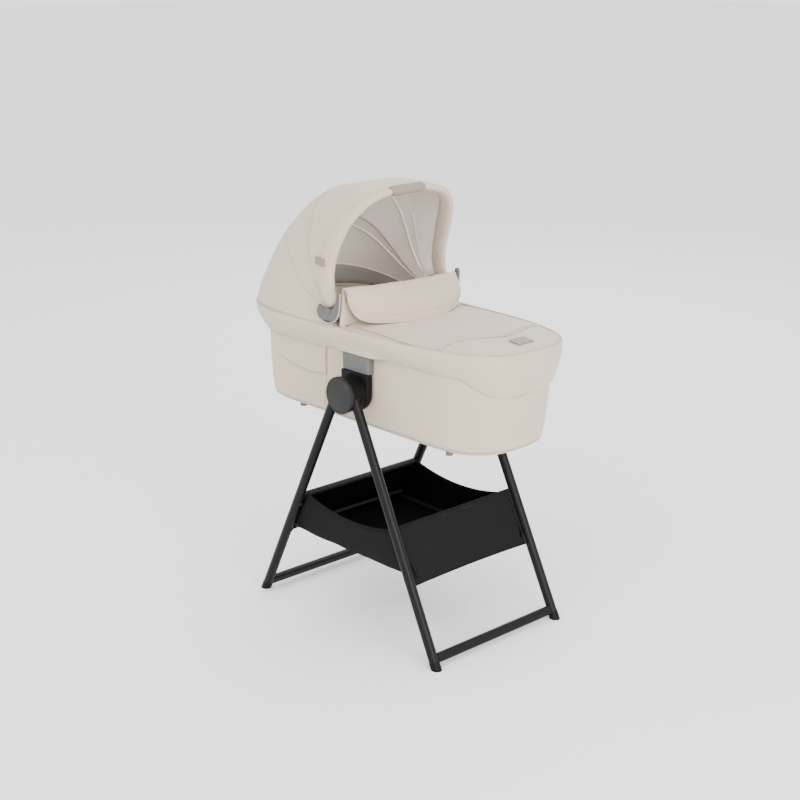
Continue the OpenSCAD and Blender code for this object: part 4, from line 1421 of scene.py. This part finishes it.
@dataclass
class Canopy:
    """The folding canopy: three cloths over two bows and a handle, lined inside."""

    handle: Bow = Bow(77.3, 46.0, 0.2957, 0.200, 3.4)
    middle: Bow = Bow(109.5, 50.0, 0.298, 0.1886, 4.0)
    rear: Bow = Bow(144.6, 38.0, 0.3185, 0.18535, 3.2)
    rim: Bow = Bow(185.0, 0.0, 0.384, 0.202, 3.6)
    out: float = 0.0045
    lining_gap: float = 0.0045
    sag: float = 0.006
    columns: int = 97
    rows: int = 19
    nodes: dict = field(default_factory=dict)

    def __post_init__(self) -> None:
        """Read the pivot from the frame."""
        self.pivot = box_centre("pivot_pin_right")
        self.pivot.y = 0.0

    def steps(self, low: float) -> list[float]:
        """Return values of t that crowd towards the corners."""
        return [low * math.copysign(abs(u) ** 0.85, u) for u in np.linspace(-1, 1, self.columns)]

    def surface(self, b0: Bow, b1: Bow, lift: float, low: float, sag: float,
                lap: float = 0.0) -> list[list[Vector]]:
        """Return rows of points between two bows, drawn in between them.

        Args:
            b0: First bow.
            b1: Second bow.
            lift: How far outside the bows the cloth lies.
            low: How far down the bows it reaches.
            sag: How far it is drawn in halfway.
            lap: How far it laps past each bow, as a share of the way between them.

        Returns:
            The rows, from the first bow to the second.
        """
        made = []
        for i in range(self.rows):
            s = mix(-lap, 1 + lap, i / (self.rows - 1))
            bow = b0.toward(b1, s)
            dip = sag * math.sin(math.pi * s)
            made.append([bow.point(self.pivot, t, lift - dip * math.cos(math.pi / 2 * t) ** 0.5)
                         for t in self.steps(low)])
        return made

    def rear_surface(self, lift: float, low: float, sag: float) -> list[list[Vector]]:
        """Return the rear rows, whose last one follows the rim."""
        rows = self.surface(self.rear, self.rim, lift, low, sag)
        inset = 0.0065 - lift
        ring = [Vector((x, y, 0.0)) for x, y in rim_plan().ring(400, inset) if x < self.pivot.x + 0.020]
        start = max(range(len(ring)), key=lambda i: (ring[i] - ring[i - 1]).length)
        ring = ring[start:] + ring[:start]
        if ring[0].y > 0:
            ring.reverse()
        goal = np.array(ring)
        goal_run = np.concatenate([[0], np.cumsum(np.linalg.norm(np.diff(goal, axis=0), axis=1))])
        last = np.array(rows[-1])
        run = np.concatenate([[0], np.cumsum(np.linalg.norm(np.diff(last, axis=0), axis=1))])
        share = run / run[-1] * goal_run[-1]
        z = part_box("skirt")[1].z + 0.002
        for k in range(len(rows[-1])):
            move = Vector((np.interp(share[k], goal_run, goal[:, 0]) - last[k][0],
                           np.interp(share[k], goal_run, goal[:, 1]) - last[k][1], z - last[k][2]))
            for i, row in enumerate(rows):
                row[k] += move * ease(i / (len(rows) - 1)) ** 1.2
        return rows

    def build(self) -> None:
        """Build the cloths, their linings, seams, handle and pivots."""
        for name in ("rear_bow", "mid_bow"):
            dress(self.nodes[name], GREY_PLASTIC)
        self.cloth("canopy_rear_cloth", "canopy_rear_panel", ("carrycot", "rear_bow"),
                   self.rear_surface(self.out, 0.99, self.sag)[::-1], 31.0)
        self.cloth("canopy_middle_cloth", "canopy_middle_panel", ("rear_bow", "mid_bow"),
                   self.surface(self.middle, self.rear, self.out, 0.988, self.sag)[::-1], 37.0)
        self.cloth("canopy_front_cloth", "canopy_front_panel", ("mid_bow", "handle"),
                   self.surface(self.handle.toward(self.middle, 0.04), self.middle, self.out, 0.988,
                                self.sag * 0.6)[::-1], 41.0)
        inner = -self.lining_gap
        self.lining("canopy_rear_lining", ("carrycot", "rear_bow"), self.rear_surface(inner, 0.985, 0.0))
        self.lining("canopy_middle_lining", ("rear_bow", "mid_bow"),
                    self.surface(self.middle, self.rear, inner, 0.985, 0.0, 0.03))
        self.lining("canopy_front_lining", ("mid_bow", "handle"),
                    self.surface(self.handle, self.middle, inner, 0.985, 0.0, 0.03))
        self.seams()
        self.vent()
        self.sleeves()
        self.grip()
        self.pivots()

    def bend(self, piece: bpy.types.Object, bodies: tuple[str, str]) -> None:
        """Bake a cloth's placement into its mesh; the points of the two bows, or the rim and a bow, that it
        joins are found but not used.
        """
        bows = {"carrycot": self.rim, "rear_bow": self.rear, "mid_bow": self.middle, "handle": self.handle}
        start, end = (bows[body].point(self.pivot, 0.0) for body in bodies)
        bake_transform(piece)

    def cloth(self, name: str, node: str, bodies: tuple[str, str], rows: list[list[Vector]],
              seed: float) -> None:
        """Build one outer cloth, slightly uneven between its seams."""
        cloth = grid_piece(name, rows, OYSTER)
        soften(cloth, 0.0018, 0.07, seed=seed)
        thicken(cloth, 0.0016, -1.0)
        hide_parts(node)
        self.bend(cloth, bodies)

    def lining(self, name: str, bodies: tuple[str, str], rows: list[list[Vector]]) -> None:
        """Build one lining, facing inwards."""
        lining = grid_piece(name, rows, LINING)
        soften(lining, 0.0012, 0.06, seed=43.0)
        thicken(lining, 0.001, -1.0)
        self.bend(lining, bodies)

    def seams(self) -> None:
        """Build the piped seams over each bow, those of the lining, and the one along the rim."""
        for label, bow, body in (("rear", self.rear, "rear_bow"), ("middle", self.middle, "mid_bow")):
            outside = [bow.point(self.pivot, t, self.out + 0.0002) for t in self.steps(0.97)]
            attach(tube(f"{label}_seam_piping", outside, 0.0015, OYSTER_TRIM, 8), body)
            beside = bow.toward(self.rim, 0.035)
            row = [beside.point(self.pivot, t, self.out + 0.0001) for t in self.steps(0.93)]
            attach(stitches(f"{label}_seam_stitches", row, OYSTER_TRIM, thread=0.0003), body)
        for label, bow, drop, bodies in (("middle", self.middle.toward(self.rear, 0.3), 0.0065,
                                          ("mid_bow", "rear_bow")),
                                         ("rear", self.rear.toward(self.rim, 0.2), 0.0065,
                                          ("rear_bow", "carrycot"))):
            inside = [bow.point(self.pivot, t, -drop) for t in self.steps(0.955)]
            self.bend(tube(f"{label}_lining_piping", inside, 0.0026, LINING, 8), bodies[::-1])
        foot = [p + Vector((0, 0, 0.0012)) for p in self.rear_surface(self.out + 0.0012, 0.985, 0.0)[-1]]
        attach(tube("canopy_foot_piping", foot, 0.0016, OYSTER_TRIM, 8), "carrycot")

    def vent(self) -> None:
        """Build the dark vent mesh inside the rear cloth, with its binding."""
        rows = self.rear_surface(-self.lining_gap - 0.0026, 0.97, 0.0)
        first, last = round((self.rows - 1) * 0.78), self.rows
        trim = int(self.columns * 0.07)
        part = [row[trim:-trim] for row in rows[first:last]]
        mesh = grid_piece("vent_mesh", part, MESH, thickness=0.0006)
        self.bend(mesh, ("carrycot", "rear_bow"))
        edge = tube("vent_binding", part[0], 0.0022, LINING, 8)
        self.bend(edge, ("carrycot", "rear_bow"))

    def sleeves(self) -> None:
        """Build the handle's rod with its eyes, and the padded sleeves on its legs."""
        rods = [tube("rod", [self.handle.point(self.pivot, t) for t in self.steps(0.985)], 0.0065,
                     GREY_PLASTIC, 14)]
        grip_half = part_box("handle_grip")[1].y
        eye_y = self.handle.half - self.handle.pinch
        parts = []
        for side in (-1.0, 1.0):
            eye = [(0.005, -0.004), (0.0155, -0.004), (0.016, 0.0), (0.0155, 0.004), (0.005, 0.004)]
            rods.append(lathe_y("eye", eye, Vector((self.pivot.x, side * eye_y, self.pivot.z)), side,
                                GREY_PLASTIC, 48))
            neck = [self.handle.point(self.pivot, side * 0.983),
                    Vector((self.pivot.x, side * eye_y, self.pivot.z))]
            rods.append(tube("neck", [neck[0].lerp(neck[1], v) for v in (0.0, 0.25, 0.5)], 0.0062,
                             GREY_PLASTIC, 14))
            path = [self.handle.point(self.pivot, side * t) for t in np.linspace(0.0, 0.972, 240)]
            path = [p for p in path if abs(p.y) > grip_half - 0.001][::2]
            foot = Vector((self.pivot.x - 0.001, side * eye_y, self.pivot.z + 0.009))
            path += [path[-1].lerp(foot, v) for v in np.linspace(0, 1, 12)[1:]]
            path = [p + Vector((0.003 * ease((i / len(path) - 0.5) / 0.3), 0, 0)) for i,
                    p in enumerate(path)]
            parts.append(self.sleeve(path))
        rod = join("handle_rod", rods)
        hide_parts("handle_tube")
        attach(rod, "handle")
        sleeve = join("handle_sleeve_cloth", parts)
        soften(sleeve, 0.0011, 0.035, seed=51.0)
        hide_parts("handle_sleeve")
        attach(sleeve, "handle")

    @staticmethod
    def sleeve(path: list[Vector]) -> bpy.types.Object:
        """Sweep one sleeve that widens from a cuff at the grip to a rounded foot."""
        count, sides = len(path), 28
        rings = []
        for i, p in enumerate(path):
            v = i / (count - 1)
            cuff = min(1.0, 0.62 + 0.38 * math.sin(math.pi / 2 * min(1.0, i / 4)))
            run = (path[-1] - p).length
            foot = math.sqrt(max(0.0, 1 - (1 - min(1.0, run / 0.019)) ** 2))
            wide = mix(0.0155, 0.0235, ease((v - 0.15) / 0.6)) * cuff * mix(0.25, 1.0, foot)
            deep = mix(0.0088, 0.0112,
                       ease(v / 0.4)) * mix(1.0, 0.82, ease((v - 0.8) / 0.2)) * cuff * mix(0.4, 1.0, foot)
            along = (path[min(i + 1, count - 1)] - path[max(i - 1, 0)]).normalized()
            across = (Vector((1, 0, 0)) - along * along.x).normalized()
            other = along.cross(across)
            ring = []
            for k in range(sides):
                a = 2 * math.pi * k / sides
                c, q = math.cos(a), math.sin(a)
                ring.append(p + across * (wide * math.copysign(abs(c) ** 0.8, c))
                            + other * (deep * math.copysign(abs(q) ** 0.8, q)))
            rings.append(ring)
        points = [p for ring in rings for p in ring]
        faces = [(i * sides + k, i * sides + (k + 1) % sides, (i + 1) * sides + (k + 1) % sides,
                  (i + 1) * sides + k)
                 for i in range(count - 1) for k in range(sides)]
        faces += [tuple(range(sides - 1, -1, -1)), tuple((count - 1) * sides + k for k in range(sides))]
        piece = mesh_object("sleeve", points, faces, OYSTER)
        clean(piece, recalc=True)
        subdivide(piece, 1)
        return piece

    def grip(self) -> None:
        """Build the leatherette grip with its seam, and the tabs beside the legs."""
        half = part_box("handle_grip")[1].y
        path = [p for p in (self.handle.point(self.pivot, t) for t in np.linspace(-0.5, 0.5, 401))
                if abs(p.y) <= half][::3]
        count = len(path)
        shape = [0.0128 * min(1.0, 0.82 + 0.18 * math.sin(math.pi / 2 * min(1.0, min(i, count - 1 - i) / 4)))
                 for i in range(count)]
        grip = tube("handle_grip_wrap", path, shape, TAN, 28)
        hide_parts("handle_grip")
        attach(grip, "handle")
        seam = [p + Vector((-0.006, 0, -0.0114)) for p in path[2:-2]]
        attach(stitches("grip_stitches", seam, OYSTER_TRIM, pitch=0.004, length=0.0026), "handle")
        dress(self.nodes["handle_studs"], STEEL)
        tabs = []
        low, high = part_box("pull_tabs")
        for side in (-1.0, 1.0):
            rows = [[Vector((mix(low.x, high.x + 0.024, u),
                             side * (high.y - 0.001 + 0.0085 * ease((u - 0.2) / 0.45)),
                             mix(low.z, high.z, v) + 0.001 * math.sin(2 * u))) for v in np.linspace(0, 1, 6)]
                    for u in np.linspace(0, 1, 16)]
            tab = grid_piece("tab", rows, TAN, thickness=0.0016)
            bevel(tab, 0.0004, 2)
            tabs.append(tab)
        tab = join("leather_tabs", tabs)
        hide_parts("pull_tabs")
        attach(tab, "handle")

    def pivots(self) -> None:
        """Build the cupped housings at the pivots, with their cloth edging."""
        cup = [(-0.0350, 0.0130), (-0.0415, -0.0050), (-0.0345, -0.0200), (-0.0150, -0.0275),
               (0.0070, -0.0280),
               (0.0270, -0.0190), (0.0390, -0.0020), (0.0440, 0.0190), (0.0470, 0.0500)]
        tip = [(0.0455, 0.0550), (0.0370, 0.0555), (0.0345, 0.0500)]
        inner = [(0.0320, 0.0320), (0.0240, 0.0150), (0.0090, 0.0050), (-0.0100, 0.0040), (-0.0270, 0.0100)]
        outline = curve_2d(cup, 4) + curve_2d(tip, 3) + curve_2d(inner, 3)
        placed = [(self.pivot.x + x, self.pivot.z + z) for x, z in outline]
        for label, side in SIDES.items():
            low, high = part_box(f"pivot_housing_{label}")
            outer = high.y if side > 0 else low.y
            y0, y1 = sorted((outer - side * 0.0085, outer - side * 0.0005))
            cup_piece = extrude_outline(f"pivot_cup_{label}", placed, y0, y1, SHADED_GREY_PLASTIC, 0.0022, 3)
            inner_y = low.y if side > 0 else high.y
            ys = sorted((inner_y, inner_y + side * 0.0032))
            boss = extrude_outline("boss",
                                   [(self.pivot.x + 0.016 * math.cos(a), self.pivot.z + 0.016 * math.sin(a))
                                            for a in np.linspace(0, 2 * math.pi, 40, endpoint=False)],
                                   ys[0], ys[1], GREY_PLASTIC, 0.0006, 2)
            ys = sorted((inner_y, y1 if side > 0 else y0))
            foot_z = self.pivot.z - 0.028
            foot = extrude_outline("foot", [(self.pivot.x - 0.016, foot_z), (self.pivot.x + 0.020, foot_z),
                                            (self.pivot.x + 0.024, foot_z + 0.005),
                                            (self.pivot.x - 0.020, foot_z + 0.005)],
                                   ys[0], ys[1], GREY_PLASTIC, 0.001, 2)
            cup_piece = join(f"pivot_cup_{label}", [cup_piece, boss, foot])
            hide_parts(f"pivot_housing_{label}")
            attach(cup_piece, "carrycot")
            edging = [Vector((self.pivot.x + x * 1.02, outer - side * 0.002, self.pivot.z + z * 1.02))
                      for x, z in curve_2d(cup, 5)]
            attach(tube(f"pivot_edging_{label}", edging, 0.0019, OYSTER_TRIM, 8), "carrycot")
            dress(self.nodes[f"pivot_button_{label}"], GREY_PLASTIC)
            dress(self.nodes[f"pivot_pin_{label}"], STEEL)


# ---------- stage ----------


@dataclass
class Stage:
    """The pale floor, the soft light and the camera."""

    azimuth: float = 47.187
    elevation: float = 17.109
    distance: float = 3.9478
    target: tuple[float, float, float] = (-0.02795, 0.0, 0.5596)
    lens: float = 68.834

    def build(self) -> None:
        """Build the floor, the lights and the camera."""
        self.camera()
        self.floor()
        self.world()
        self.area("key", (1.2, -3.6, 3.4), 3.0, 100.0)
        self.area("fill", (4.0, -1.2, 1.8), 2.6, 165.0)
        self.area("back", (-2.2, 2.8, 3.0), 3.0, 60.0)

    def camera(self) -> None:
        """Place the camera."""
        data = bpy.data.cameras.new("camera")
        data.lens = self.lens
        data.sensor_width = 36.0
        camera = bpy.data.objects.new("camera", data)
        bpy.context.scene.collection.objects.link(camera)
        a, e = math.radians(self.azimuth), math.radians(self.elevation)
        back = Vector((math.sin(a) * math.cos(e), -math.cos(a) * math.cos(e), math.sin(e)))
        camera.location = Vector(self.target) + back * self.distance
        camera.rotation_mode = "QUATERNION"
        camera.rotation_quaternion = (-back).to_track_quat("-Z", "Y")
        bpy.context.scene.camera = camera

    def floor(self) -> None:
        """Lay a large pale floor."""
        size = 30.0
        floor = mesh_object("floor",
                            [(-size, -size, 0), (size, -size, 0), (size, size, 0), (-size, size, 0)],
                            [(0, 1, 2, 3)], FLOOR)
        del floor["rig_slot"]

    def world(self) -> None:
        """Light the scene with a pale sky."""
        world = bpy.data.worlds.new("sky")
        world.use_nodes = True
        background = world.node_tree.nodes["Background"]
        background.inputs["Color"].default_value = (1.0, 1.0, 1.0, 1.0)
        background.inputs["Strength"].default_value = 1.9
        bpy.context.scene.world = world

    def area(self, name: str, at: tuple[float, float, float], size: float, power: float) -> None:
        """Hang a large soft light that faces the object."""
        data = bpy.data.lights.new(name, "AREA")
        data.shape = "DISK"
        data.size = size
        data.energy = power
        lamp = bpy.data.objects.new(name, data)
        lamp.location = at
        lamp.rotation_mode = "QUATERNION"
        lamp.rotation_quaternion = (Vector(at) - Vector(self.target)).to_track_quat("Z", "Y")
        bpy.context.scene.collection.objects.link(lamp)


def main() -> None:
    """Build every sub-assembly around the frame."""
    logging.basicConfig(level=logging.INFO, format="%(message)s")
    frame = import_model()
    nodes = frame["nodes"]
    Stage().build()
    for assembly in (Stand(nodes=nodes), Basket(), Carrycot(nodes=nodes), FootCover(), WindFlap(),
                     Canopy(nodes=nodes)):
        assembly.build()
        LOG.info("built %s", type(assembly).__name__)


if __name__ == "__main__":
    main()
